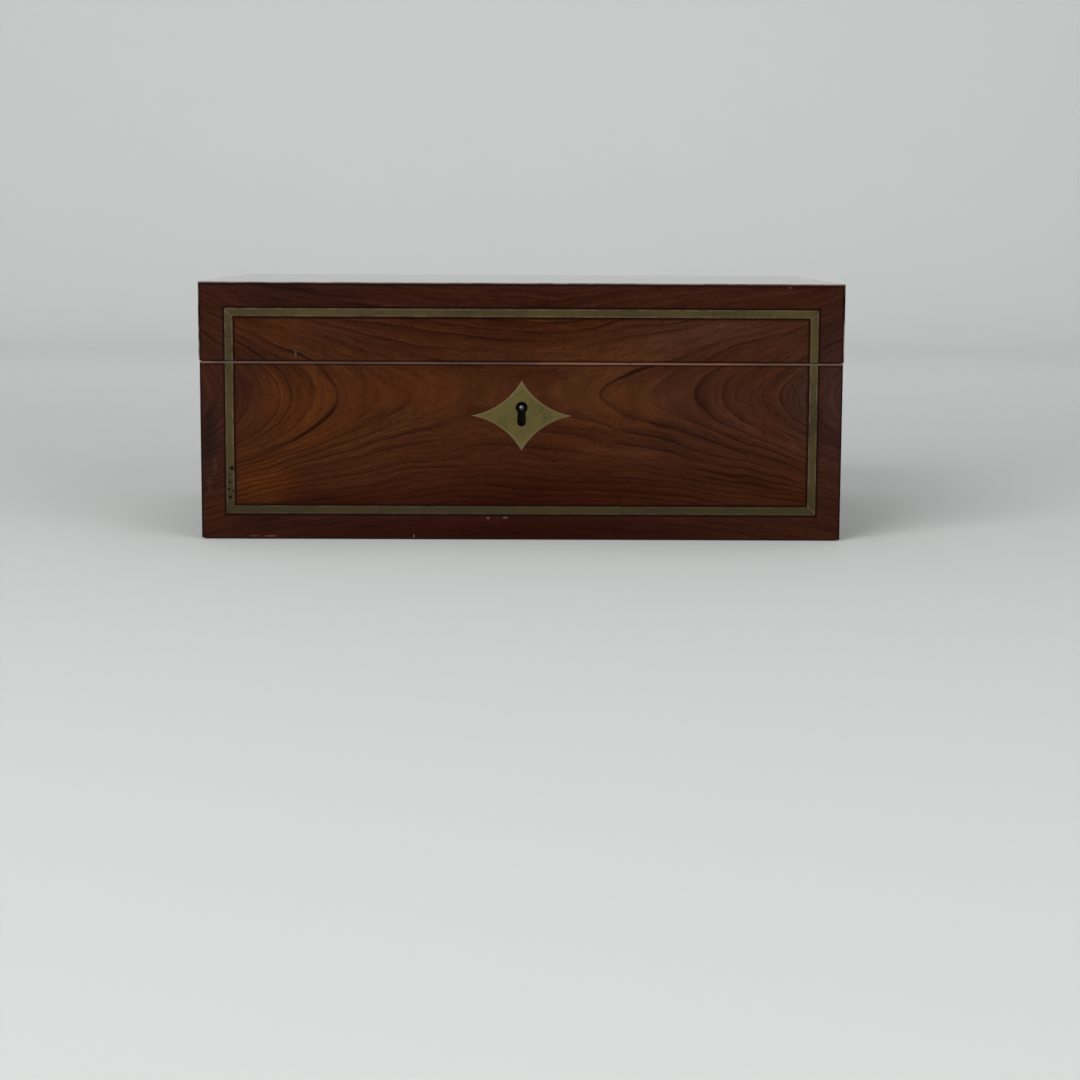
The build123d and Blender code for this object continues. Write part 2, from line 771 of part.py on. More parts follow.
def row_divider():
    """Board between the tray and the row of jars."""
    top = BASE_RIM_Z - PARTITION_DROP
    return block(both(LINED_X), (DIVIDER_Y, DIVIDER_Y + PARTITION), (FLOOR_Z + FLOOR_LINING, top))


def cell_edges():
    """Left face of each partition across the back row."""
    outer = LINED_X - CELL
    inner = outer - PARTITION - CELL
    return (-outer, -inner, inner - PARTITION, outer - PARTITION)


def cell_partitions():
    """Boards between the jars."""
    top = BASE_RIM_Z - PARTITION_DROP
    y = (DIVIDER_Y + PARTITION, LINED_Y)
    z = (FLOOR_Z + FLOOR_LINING, top)
    return group(block((x, x + PARTITION), y, z) for x in cell_edges())


def base_lining():
    """Cloth on the floor and paper on the walls inside the base."""
    top = BASE_RIM_Z - RIM_FACING
    floor_top = FLOOR_Z + FLOOR_LINING
    floor = block(both(BASE_IN_X), both(IN_Y), (FLOOR_Z, floor_top))
    lock_hole = block(both(LOCK_WIDTH / 2), (-IN_Y, -LINED_Y), (BASE_RIM_Z - LOCK_PLATE_DROP, top))
    front = block(both(LINED_X), (-IN_Y, -LINED_Y), (floor_top, top)) - lock_hole
    back = block(both(LINED_X), (LINED_Y, IN_Y), (floor_top, top))
    left = block((-BASE_IN_X, -LINED_X), both(IN_Y), (floor_top, top))
    right = block((LINED_X, BASE_IN_X), both(IN_Y), (floor_top, top))
    return group((floor, front, back, left, right))


def tray_foot():
    """Level of the underside of the tray."""
    return BASE_RIM_Z - TRAY_DROP - TRAY_HEIGHT


def tray_ledges():
    """Strips on the end walls that carry the tray."""
    top = tray_foot() - SEAT_GAP
    z = (top - LEDGE_HEIGHT, top)
    y = (-LINED_Y, DIVIDER_Y)
    return group((block((-LINED_X, -LINED_X + LEDGE), y, z), block((LINED_X - LEDGE, LINED_X), y, z)))


# Jars

def jar_places():
    """Middle of each jar's cell in X."""
    outer = LINED_X - CELL / 2
    inner = outer - PARTITION - CELL
    return (-outer, -inner, inner, outer)


def jar_foot():
    """Level that the jars stand on."""
    return FLOOR_Z + FLOOR_LINING + SEAT_GAP


def at_jar(x):
    """Foot of the jar in one cell."""
    return Pos(x, LINED_Y - CELL / 2, jar_foot())


def jar_outline(inset):
    """Square outline with cut corners, moved in from the jar's sides by one distance all round."""
    half = JAR_WIDTH / 2 - inset
    flat = half - JAR_CORNER + inset * (2 - math.sqrt(2))
    corners = [(half, flat), (flat, half), (-flat, half), (-half, flat)]
    return Polygon(*corners, *[(-a, -b) for a, b in corners])


def bevel_top(solid, length):
    """A solid with the edges of its uppermost face bevelled."""
    return chamfer(solid.faces().sort_by(Axis.Z)[-1].edges(), length)


def jar_glass(x):
    """Thick square jar with cut corners, bevelled shoulders and a neck of the same outline."""
    top = JAR_BODY + NECK_HEIGHT
    body = bevel_top(lying(jar_outline(0), 0, JAR_BODY), JAR_SHOULDER)
    neck = lying(jar_outline(NECK_INSET), JAR_BODY, top)
    bore = lying(jar_outline(NECK_INSET + NECK_WALL), JAR_FLOOR, top)
    return at_jar(x) * (body + neck - bore)


def jar_cap(x):
    """Thin cap with a bead round its foot, a bevelled crown and a raised panel."""
    room = NECK_INSET - CAP_FIT
    side = room - CAP_WALL
    panel = side + CAP_CROWN + CAP_MARGIN
    foot = JAR_BODY + SEAT_GAP
    ceiling = foot + CAP_SIDE
    top = ceiling + CAP_CROWN
    cap = bevel_top(lying(jar_outline(side), foot, top), CAP_CROWN)
    cap = cap + bevel_top(lying(jar_outline(side - CAP_BEAD), foot, foot + CAP_BEAD_HEIGHT), CAP_BEAD_BEVEL)
    cap = cap + bevel_top(lying(jar_outline(panel), top, top + CAP_PANEL), CAP_PANEL_BEVEL)
    return at_jar(x) * (cap - lying(jar_outline(room), foot, ceiling))


# Tray

def tray_outer():
    """Half width, front and back of the tray."""
    return (LINED_X - TRAY_ROOM, -LINED_Y + TRAY_ROOM, DIVIDER_Y - TRAY_ROOM)


def tray_top():
    """Level of the top of the tray."""
    return tray_foot() + TRAY_HEIGHT


def tray_long_walls():
    """Front and back walls of the tray."""
    half_x, front, back = tray_outer()
    z = (tray_foot(), tray_top())
    return group((block(both(half_x), (front, front + TRAY_WALL), z), block(both(half_x), (back - TRAY_WALL, back), z)))


def tray_end_walls():
    """End walls of the tray, each with a scoop for a finger."""
    half_x, front, back = tray_outer()
    middle = (front + back) / 2
    scoop = Pos(0, middle, tray_top() + SCOOP_R - SCOOP_DEPTH) * Rot(0, 90, 0) * Cylinder(SCOOP_R, 2 * half_x)
    ends = []
    for side in (-1, 1):
        x = sorted((side * half_x, side * (half_x - TRAY_WALL)))
        ends.append(block(x, (front + TRAY_WALL, back - TRAY_WALL), (tray_foot(), tray_top())) - scoop)
    return group(ends)


def tray_floor():
    """Floor of the tray, between its walls."""
    half_x, front, back = tray_outer()
    y = (front + TRAY_WALL, back - TRAY_WALL)
    return block(both(half_x - TRAY_WALL), y, (tray_foot(), tray_foot() + TRAY_FLOOR))


def tray_bays():
    """Spaces between the tray's partitions, each as its X and Y limits."""
    half_x, front, back = tray_outer()
    end = half_x - TRAY_WALL
    near = front + TRAY_WALL
    far = back - TRAY_WALL
    split = near + TRAY_SMALL_BAY
    inner = end - TRAY_BAY
    bays = [(both(inner - TRAY_PARTITION), (near, far))]
    for x in ((-end, -inner), (inner, end)):
        bays.append((x, (near, split)))
        bays.append((x, (split + TRAY_PARTITION, far)))
    return bays


def tray_partitions():
    """Two boards across the tray and one in each end bay."""
    half_x, front, back = tray_outer()
    end = half_x - TRAY_WALL
    near = front + TRAY_WALL
    far = back - TRAY_WALL
    split = near + TRAY_SMALL_BAY
    inner = end - TRAY_BAY
    z = (tray_foot() + TRAY_FLOOR, tray_top() - TRAY_PARTITION_DROP)
    boards = []
    for side in (-1, 1):
        across = sorted((side * inner, side * (inner - TRAY_PARTITION)))
        along = sorted((side * inner, side * end))
        boards.append(block(across, (near, far), z))
        boards.append(block(along, (split, split + TRAY_PARTITION), z))
    return group(boards)


def tray_lining():
    """Velvet pad on the floor of each bay, softened at its upper edges."""
    low = tray_foot() + TRAY_FLOOR
    pads = []
    for x, y in tray_bays():
        pad = block(x, y, (low, low + TRAY_PAD))
        pads.append(fillet(pad.faces().sort_by(Axis.Z)[-1].edges(), TRAY_PAD_EDGE))
    return group(pads)


def base_nodes():
    """Every piece of the base, by node name."""
    nodes = dict(base_walls())
    nodes["base_bottom_board"] = base_bottom_board()
    nodes["baize_underside"] = baize_underside()
    nodes["base_front_veneer"] = base_front_veneer()
    nodes["base_front_banding"] = base_front_banding()
    nodes["base_stringing"] = base_stringing()
    nodes["base_side_veneers"] = base_side_veneers()
    nodes["base_back_veneer"] = base_back_veneer()
    nodes["base_rim_facing"] = base_rim_facing()
    nodes["base_lining"] = base_lining()
    nodes["keyhole_escutcheon"] = keyhole_escutcheon()
    nodes["row_divider"] = row_divider()
    nodes["cell_partitions"] = cell_partitions()
    nodes["tray_ledges"] = tray_ledges()
    return nodes


def metalwork_nodes():
    """Lock, hinges and screws, by node name."""
    base_screws = lock_screw_places() + leaf_screw_places(in_lid=False)
    lid_screws = link_screw_places() + leaf_screw_places(in_lid=True)
    return {
        "lock_plate": lock_plate(),
        "lock_cap": lock_cap(),
        "lock_drill_pin": lock_drill_pin(),
        "lock_spring": lock_spring(),
        "lock_bolt": lock_bolt(),
        "link_plate": link_plate(),
        "hinge_base_leaves": hinge_leaves(in_lid=False),
        "hinge_lid_leaves": hinge_leaves(in_lid=True),
        "hinge_pins": hinge_pins(),
        "base_screws": group(screw(*place) for place in base_screws),
        "lid_screws": group(screw(*place) for place in lid_screws),
    }


def lid_nodes():
    """Every wooden, brass and glass piece of the lid, by node name."""
    nodes = dict(lid_walls())
    nodes["lid_top_board"] = lid_top_board()
    nodes["lid_front_veneer"] = lid_front_veneer()
    nodes["lid_front_banding"] = lid_front_banding()
    nodes["lid_front_stringing"] = lid_front_stringing()
    nodes["lid_top_veneer"] = lid_top_veneer()
    nodes["lid_top_banding"] = lid_top_banding()
    nodes["lid_top_stringing"] = lid_top_stringing()
    nodes["lid_side_veneers"] = lid_side_veneers()
    nodes["lid_back_veneer"] = lid_back_veneer()
    nodes["lid_rim_facing"] = lid_rim_facing()
    nodes["mirror_backing"] = mirror_backing()
    nodes["mirror_glass"] = mirror_glass()
    nodes["mirror_frame"] = mirror_frame()
    return nodes


def loose_nodes():
    """The tray and the jars, by node name."""
    nodes = {
        "tray_floor": tray_floor(),
        "tray_long_walls": tray_long_walls(),
        "tray_end_walls": tray_end_walls(),
        "tray_partitions": tray_partitions(),
        "tray_lining": tray_lining(),
    }
    for number, x in enumerate(jar_places(), start=1):
        nodes[f"jar_{number}_glass"] = jar_glass(x)
        nodes[f"jar_{number}_cap"] = jar_cap(x)
    return nodes


def main():
    """Writes one STEP file for each node."""
    os.makedirs("parts", exist_ok=True)
    nodes = {**base_nodes(), **metalwork_nodes(), **lid_nodes(), **loose_nodes()}
    for name, shape in nodes.items():
        export_step(shape, f"parts/{name}.step")
    print(len(nodes), "nodes")


main()
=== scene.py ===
import logging
import math
from dataclasses import dataclass, field, replace
from enum import Enum
from typing import Any, Sequence, Union

import bmesh
import bpy
from mathutils import Matrix, Vector


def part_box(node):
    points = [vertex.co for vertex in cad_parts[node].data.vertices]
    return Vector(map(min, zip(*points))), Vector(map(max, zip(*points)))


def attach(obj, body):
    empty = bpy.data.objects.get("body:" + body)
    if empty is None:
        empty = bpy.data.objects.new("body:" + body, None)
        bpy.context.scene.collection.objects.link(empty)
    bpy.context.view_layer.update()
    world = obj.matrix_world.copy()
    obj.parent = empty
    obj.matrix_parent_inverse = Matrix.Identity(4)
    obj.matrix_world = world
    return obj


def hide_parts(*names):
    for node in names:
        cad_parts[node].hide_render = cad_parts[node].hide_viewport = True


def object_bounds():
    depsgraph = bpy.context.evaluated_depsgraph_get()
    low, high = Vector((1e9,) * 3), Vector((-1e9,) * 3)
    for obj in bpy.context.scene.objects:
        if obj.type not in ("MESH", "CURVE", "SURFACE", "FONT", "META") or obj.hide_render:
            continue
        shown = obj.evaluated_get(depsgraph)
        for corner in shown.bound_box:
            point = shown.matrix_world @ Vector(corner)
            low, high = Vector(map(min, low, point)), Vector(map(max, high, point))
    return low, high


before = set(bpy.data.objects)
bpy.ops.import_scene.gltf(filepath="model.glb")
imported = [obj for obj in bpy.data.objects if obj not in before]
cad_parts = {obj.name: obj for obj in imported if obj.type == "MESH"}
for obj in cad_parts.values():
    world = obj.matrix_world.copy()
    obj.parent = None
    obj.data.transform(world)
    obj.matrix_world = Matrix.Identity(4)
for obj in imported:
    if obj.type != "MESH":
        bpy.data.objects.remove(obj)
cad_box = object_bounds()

# Looks for a veneered dressing case with brass stringing: its woods, metals, cloths and glass,
# its slotted screws, pads and linings in their finished forms, and the studio round it.
# Objects are in metres, +Z up, front towards -Y. Forms and finishes are worked out in millimetres.

log = logging.getLogger("dressing_case")
Colour = tuple[float, float, float]
MM_PER_METRE = 1000.0
MM = 1.0 / MM_PER_METRE
CASE_LOW, CASE_HIGH = (corner * MM_PER_METRE for corner in cad_box)
STRING_WIDTH = 3.5
MERGE_DISTANCE = 0.001 * MM
BEVEL_ANGLE = math.radians(35.0)
SMOOTH_ANGLE = math.radians(40.0)


def shade(colour: Colour, share: float) -> Colour:
    """A colour with its light multiplied by a share."""
    return tuple(part * share for part in colour)


def mm_box(node: str) -> tuple[Vector, Vector]:
    """Low and high corners of a CAD node in millimetres."""
    low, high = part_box(node)
    return low * MM_PER_METRE, high * MM_PER_METRE


def add_object(name: str, data: bpy.types.ID) -> bpy.types.Object:
    """Adds an object to the scene.

    Args:
        name: what it is called.
        data: its mesh, light or camera.

    Returns:
        The object.
    """
    made = bpy.data.objects.new(name, data)
    bpy.context.scene.collection.objects.link(made)
    return made


class Signal:
    """A value socket of a material that Python's operators build on."""

    def __init__(self, graph: "Graph", socket: bpy.types.NodeSocket) -> None:
        """Keeps the graph and the socket."""
        self.graph = graph
        self.socket = socket

    def __add__(self, other: "Number") -> "Signal":
        """Sum of this value and another."""
        return self.graph.math("ADD", self, other)

    def __radd__(self, other: "Number") -> "Signal":
        """Sum of a number and this value."""
        return self.graph.math("ADD", other, self)

    def __sub__(self, other: "Number") -> "Signal":
        """This value less another."""
        return self.graph.math("SUBTRACT", self, other)

    def __rsub__(self, other: "Number") -> "Signal":
        """A number less this value."""
        return self.graph.math("SUBTRACT", other, self)

    def __mul__(self, other: "Number") -> "Signal":
        """Product of this value and another."""
        return self.graph.math("MULTIPLY", self, other)

    def __rmul__(self, other: "Number") -> "Signal":
        """Product of a number and this value."""
        return self.graph.math("MULTIPLY", other, self)

    def __truediv__(self, other: "Number") -> "Signal":
        """This value over another."""
        return self.graph.math("DIVIDE", self, other)

    def __rtruediv__(self, other: "Number") -> "Signal":
        """A number over this value."""
        return self.graph.math("DIVIDE", other, self)

    def __pow__(self, other: "Number") -> "Signal":
        """This value to a power."""
        if other == 2.0:
            return self.graph.math("MULTIPLY", self, self)
        return self.graph.math("POWER", self, other)

    def __abs__(self) -> "Signal":
        """Size of this value without its sign."""
        return self.graph.math("ABSOLUTE", self)


Number = Union[Signal, float]
Input = Union[Signal, float, Sequence[float]]


class Graph:
    """The nodes of one material, with a Principled shader at their end."""

    def __init__(self, name: str) -> None:
        """Starts a material with an empty tree, its shader and its output.

        Args:
            name: what the material is called.
        """
        self.material = bpy.data.materials.new(name)
        self.material.use_nodes = True
        self.tree = self.material.node_tree
        self.tree.nodes.clear()
        self.shader = self.tree.nodes.new("ShaderNodeBsdfPrincipled")
        output = self.tree.nodes.new("ShaderNodeOutputMaterial")
        self.tree.links.new(self.shader.outputs[0], output.inputs["Surface"])
        self.place = self.node("ShaderNodeTexCoord", output="Object")
        split = self.node("ShaderNodeSeparateXYZ", inputs={0: self.place}).socket.node
        self.x, self.y, self.z = (Signal(self, socket) * MM_PER_METRE for socket in split.outputs)

    def node(self, kind: str, settings: dict[str, Any] | None = None,
             inputs: dict[int | str, Input] | None = None, output: int | str = 0) -> Signal:
        """Adds one node.

        Args:
            kind: the node's type.
            settings: its properties, or "stops" for a ramp's stops, set before the sockets.
            inputs: a number, a colour or a link for each socket that isn't left at its own value.
            output: the output socket that is wanted.

        Returns:
            The wanted output.
        """
        made = self.tree.nodes.new(kind)
        for key, value in (settings or {}).items():
            if key == "stops":
                self._set_stops(made, value)
            else:
                setattr(made, key, value)
        for key, value in (inputs or {}).items():
            self._feed(made.inputs[key], value)
        return Signal(self, made.outputs[output])

    def _set_stops(self, ramp: bpy.types.Node, stops: Sequence[tuple[float, Colour]]) -> None:
        """Gives a ramp its stops.

        Args:
            ramp: the ramp's node.
            stops: each stop's place from 0 to 1 and its colour.
        """
        elements = ramp.color_ramp.elements
        while len(elements) < len(stops):
            elements.new(0.5)
        for element, (place, colour) in zip(elements, stops):
            element.position = place
            element.color = (*colour, 1.0)

    def _feed(self, socket: bpy.types.NodeSocket, value: Input) -> None:
        """Links or sets one input.

        Args:
            socket: the input.
            value: what it gets.
        """
        if isinstance(value, Signal):
            self.tree.links.new(value.socket, socket)
        elif isinstance(value, (int, float)):
            socket.default_value = value
        elif len(socket.default_value) > len(value):
            socket.default_value = (*value, 1.0)
        else:
            socket.default_value = value

    def math(self, operation: str, first: Number, second: Number = 0.0) -> Signal:
        """One Math node on two values."""
        return self.node("ShaderNodeMath", {"operation": operation}, {0: first, 1: second})

    def vector(self, x: Number, y: Number, z: Number = 0.0) -> Signal:
        """A vector from three values."""
        return self.node("ShaderNodeCombineXYZ", inputs={0: x, 1: y, 2: z})

    def noise(self, where: Signal, scale: float = 1.0, detail: float = 2.0,
              roughness: float = 0.5, warp: float = 0.0) -> Signal:
        """Smooth noise from 0 to 1.

        Args:
            where: the vector that it is read at.
            scale: how fine it is.
            detail: how many finer layers it has.
            roughness: how strong those layers are.
            warp: how far it is bent by itself.

        Returns:
            The noise.
        """
        layers = {"Scale": scale, "Detail": detail, "Roughness": roughness}
        return self.node("ShaderNodeTexNoise", inputs={"Vector": where, **layers, "Distortion": warp})

    def wander(self, scale: float, detail: float, reach: float) -> Signal:
        """Smooth noise over the piece, to both sides of 0 and as wide as the reach."""
        return (self.noise(self.place, scale, detail) - 0.5) * reach

    def most(self, first: Number, second: Number) -> Signal:
        """The greater of two values."""
        return self.math("MAXIMUM", first, second)

    def rise(self, value: Number, low: float, high: float, bottom: float = 0.0,
             top: float = 1.0) -> Signal:
        """Smooth step of a value.

        Args:
            value: what steps.
            low: where the step starts.
            high: where it ends, which may be the lower number.
            bottom: the result before the step.
            top: the result after it.

        Returns:
            The stepped value.
        """
        settings = {"interpolation_type": "SMOOTHSTEP", "clamp": True}
        return self.node("ShaderNodeMapRange", settings, {0: value, 1: low, 2: high, 3: bottom, 4: top})

    def bell(self, value: Number, middle: float, reach: float) -> Signal:
        """1 at the middle, falling smoothly to 0 at a distance on both sides."""
        return self.rise(abs(value - middle), 0.0, reach, 1.0, 0.0)

    def mix(self, share: Number, first: Input, second: Input) -> Signal:
        """Mixes two colours.

        Args:
            share: how much of the second colour there is.
            first: the first colour.
            second: the second colour.

        Returns:
            The mixed colour.
        """
        return self.node("ShaderNodeMix", {"data_type": "RGBA"}, {0: share, 6: first, 7: second}, 2)

    def ramp(self, value: Signal, stops: Sequence[tuple[float, Colour]]) -> Signal:
        """A colour for each value from 0 to 1."""
        return self.node("ShaderNodeValToRGB", {"stops": stops}, {0: value})

    def bump(self, height: Signal, strength: float, depth: float) -> None:
        """Shapes the surface by a height.

        Args:
            height: the height from 0 to 1.
            strength: how much of it shows.
            depth: the real height in millimetres.
        """
        sockets = {"Strength": strength, "Distance": depth * MM, "Height": height}
        self.set(Normal=self.node("ShaderNodeBump", inputs=sockets))

    def set(self, **sockets: Input) -> None:
        """Feeds the shader's sockets, named with _ for a space."""
        for key, value in sockets.items():
            self._feed(self.shader.inputs[key.replace("_", " ")], value)


class Sheet(Enum):
    """Which sheet of veneer a surface was cut from, as it shapes the figure."""

    FRONT = "front"
    TOP = "top"
    END = "end"
    BACK = "back"


@dataclass(frozen=True)
class Patch:
    """A zone of a sheet with a tone laid over it, mostly the wood's own and at the right end a painted
    reflection haze, its middle and its reach in millimetres.
    """

    x: float
    z: float
    reach_x: float
    reach_z: float
    tone: Colour
    share: float


@dataclass(frozen=True)
class Woodtones:
    """Linear colours of one wood from its darkest lines to its lightest streaks."""

    line: Colour
    dark: Colour
    middle: Colour
    light: Colour
    streak: Colour


FIELD_TONES = Woodtones(
    line=(0.0085, 0.0013, 0.0003),
    dark=(0.0170, 0.0032, 0.0006),
    middle=(0.0345, 0.0080, 0.0016),
    light=(0.0470, 0.0126, 0.0032),
    streak=(0.0660, 0.0205, 0.0058),
)
BAND_TONES = Woodtones(
    line=(0.0060, 0.0011, 0.0005),
    dark=(0.0130, 0.0027, 0.0010),
    middle=(0.0245, 0.0062, 0.0026),
    light=(0.0350, 0.0100, 0.0045),
    streak=(0.0480, 0.0150, 0.0070),
)
FRONT_PATCHES = (
    Patch(-94.0, 56.0, 36.0, 30.0, (0.062, 0.0160, 0.0022), 0.60),
    Patch(-112.0, 25.0, 24.0, 16.0, (0.070, 0.0185, 0.0018), 0.60),
    Patch(-50.0, 66.0, 46.0, 14.0, (0.058, 0.0150, 0.0020), 0.45),
    Patch(48.0, 58.0, 22.0, 14.0, (0.056, 0.0150, 0.0022), 0.45),
    Patch(-122.0, 66.0, 17.0, 24.0, (0.0205, 0.0046, 0.0024), 0.80),
    # Painted reflection haze at the right end of the front.
    Patch(126.0, 62.0, 20.0, 34.0, (0.040, 0.0190, 0.0135), 0.75),
    Patch(-118.0, 82.0, 22.0, 10.0, (0.020, 0.0044, 0.0024), 0.65),
    Patch(-102.0, 90.0, 18.0, 9.0, (0.066, 0.0170, 0.0022), 0.60),
    Patch(0.0, 12.0, 170.0, 36.0, (0.0175, 0.0017, 0.0002), 0.88),
    Patch(-86.0, 14.0, 30.0, 12.0, (0.0155, 0.0018, 0.0003), 0.80),
    Patch(10.0, 44.0, 40.0, 12.0, (0.030, 0.0062, 0.0014), 0.50),
    # Painted reflection haze over the right of the base and the lid.
    Patch(84.0, 56.0, 60.0, 44.0, (0.040, 0.0130, 0.0075), 0.50),
    Patch(88.0, 92.0, 60.0, 16.0, (0.046, 0.0170, 0.0105), 0.70),
    Patch(-84.0, 92.0, 40.0, 13.0, (0.037, 0.0100, 0.0048), 0.60),
)
BAND_PATCHES = (
    Patch(-136.0, 46.0, 7.0, 24.0, (0.0085, 0.0042, 0.0042), 0.80),
    Patch(-134.0, 76.0, 9.0, 22.0, (0.0300, 0.0078, 0.0040), 0.50),
    Patch(0.0, 4.0, 170.0, 13.0, (0.0150, 0.0014, 0.0002), 0.92),
    # Painted reflection haze at the right end of the banding.
    Patch(136.0, 66.0, 10.0, 50.0, (0.0330, 0.0130, 0.0110), 0.70),
    Patch(-110.0, 108.0, 60.0, 12.0, (0.0230, 0.0062, 0.0040), 0.60),
)


@dataclass(frozen=True)
class Nick:
    """A small pale knock on the front, with its half width and half height in millimetres."""

    x: float
    z: float
    half_x: float
    half_z: float
    strength: float


NICKS = (
    Nick(-98.0, 81.0, 0.5, 1.7, 0.28),
    Nick(-117.0, 1.5, 2.2, 0.40, 0.22),
    Nick(-109.5, 1.4, 3.0, 0.45, 0.28),
    Nick(-14.5, 9.6, 0.8, 0.5, 0.50),
    Nick(-7.0, 9.8, 1.1, 0.5, 0.45),
    Nick(-47.0, 1.4, 0.4, 1.3, 0.45),
    Nick(-136.0, 24.0, 1.0, 4.0, 0.05),
    Nick(-133.5, 32.0, 1.2, 4.5, 0.05),
    Nick(116.0, 110.4, 1.1, 0.5, 0.24),
)


@dataclass(frozen=True)
class Figure:
    """How a flat-sawn sheet meets the tree's rings, in millimetres.

    The rings lie deepest at the middle of the sheet and rise to its ends, so that they show
    as nested arcs at each end and as long level arches between. A ring's distance from the
    heart is the root of its depth squared, which falls away along the sheet, and of its
    height over the heart line squared. The depth and the least depth are given squared.
    """

    level: float
    depth: float
    left_fall: float
    right_fall: float
    least: float = 60.0
    ring: float = 2.1
    sharp_left: float = 0.0
    sharp_right: float = 0.0


FRONT_FIGURE = Figure(
    level=64.5, depth=2050.0, left_fall=0.096, right_fall=0.075, sharp_left=-77.0, sharp_right=36.0,
)
TOP_FIGURE = Figure(level=12.0, depth=1500.0, left_fall=0.060, right_fall=0.085)
END_FIGURE = Figure(level=48.0, depth=1900.0, left_fall=0.110, right_fall=0.020)
BACK_FIGURE = Figure(level=-60.0, depth=900.0, left_fall=0.010, right_fall=0.016)


@dataclass(frozen=True)
class Finish:
    """What all finishes share: a name and a material that each paints in its own way."""

    name: str

    def material(self) -> bpy.types.Material:
        """Builds the material.

        Returns:
            The finished material.
        """
        g = Graph(self.name)
        self.paint(g)
        return g.material

    def paint(self, g: Graph) -> None:
        """Gives the shader of a new material its colours and its surface."""
        raise NotImplementedError


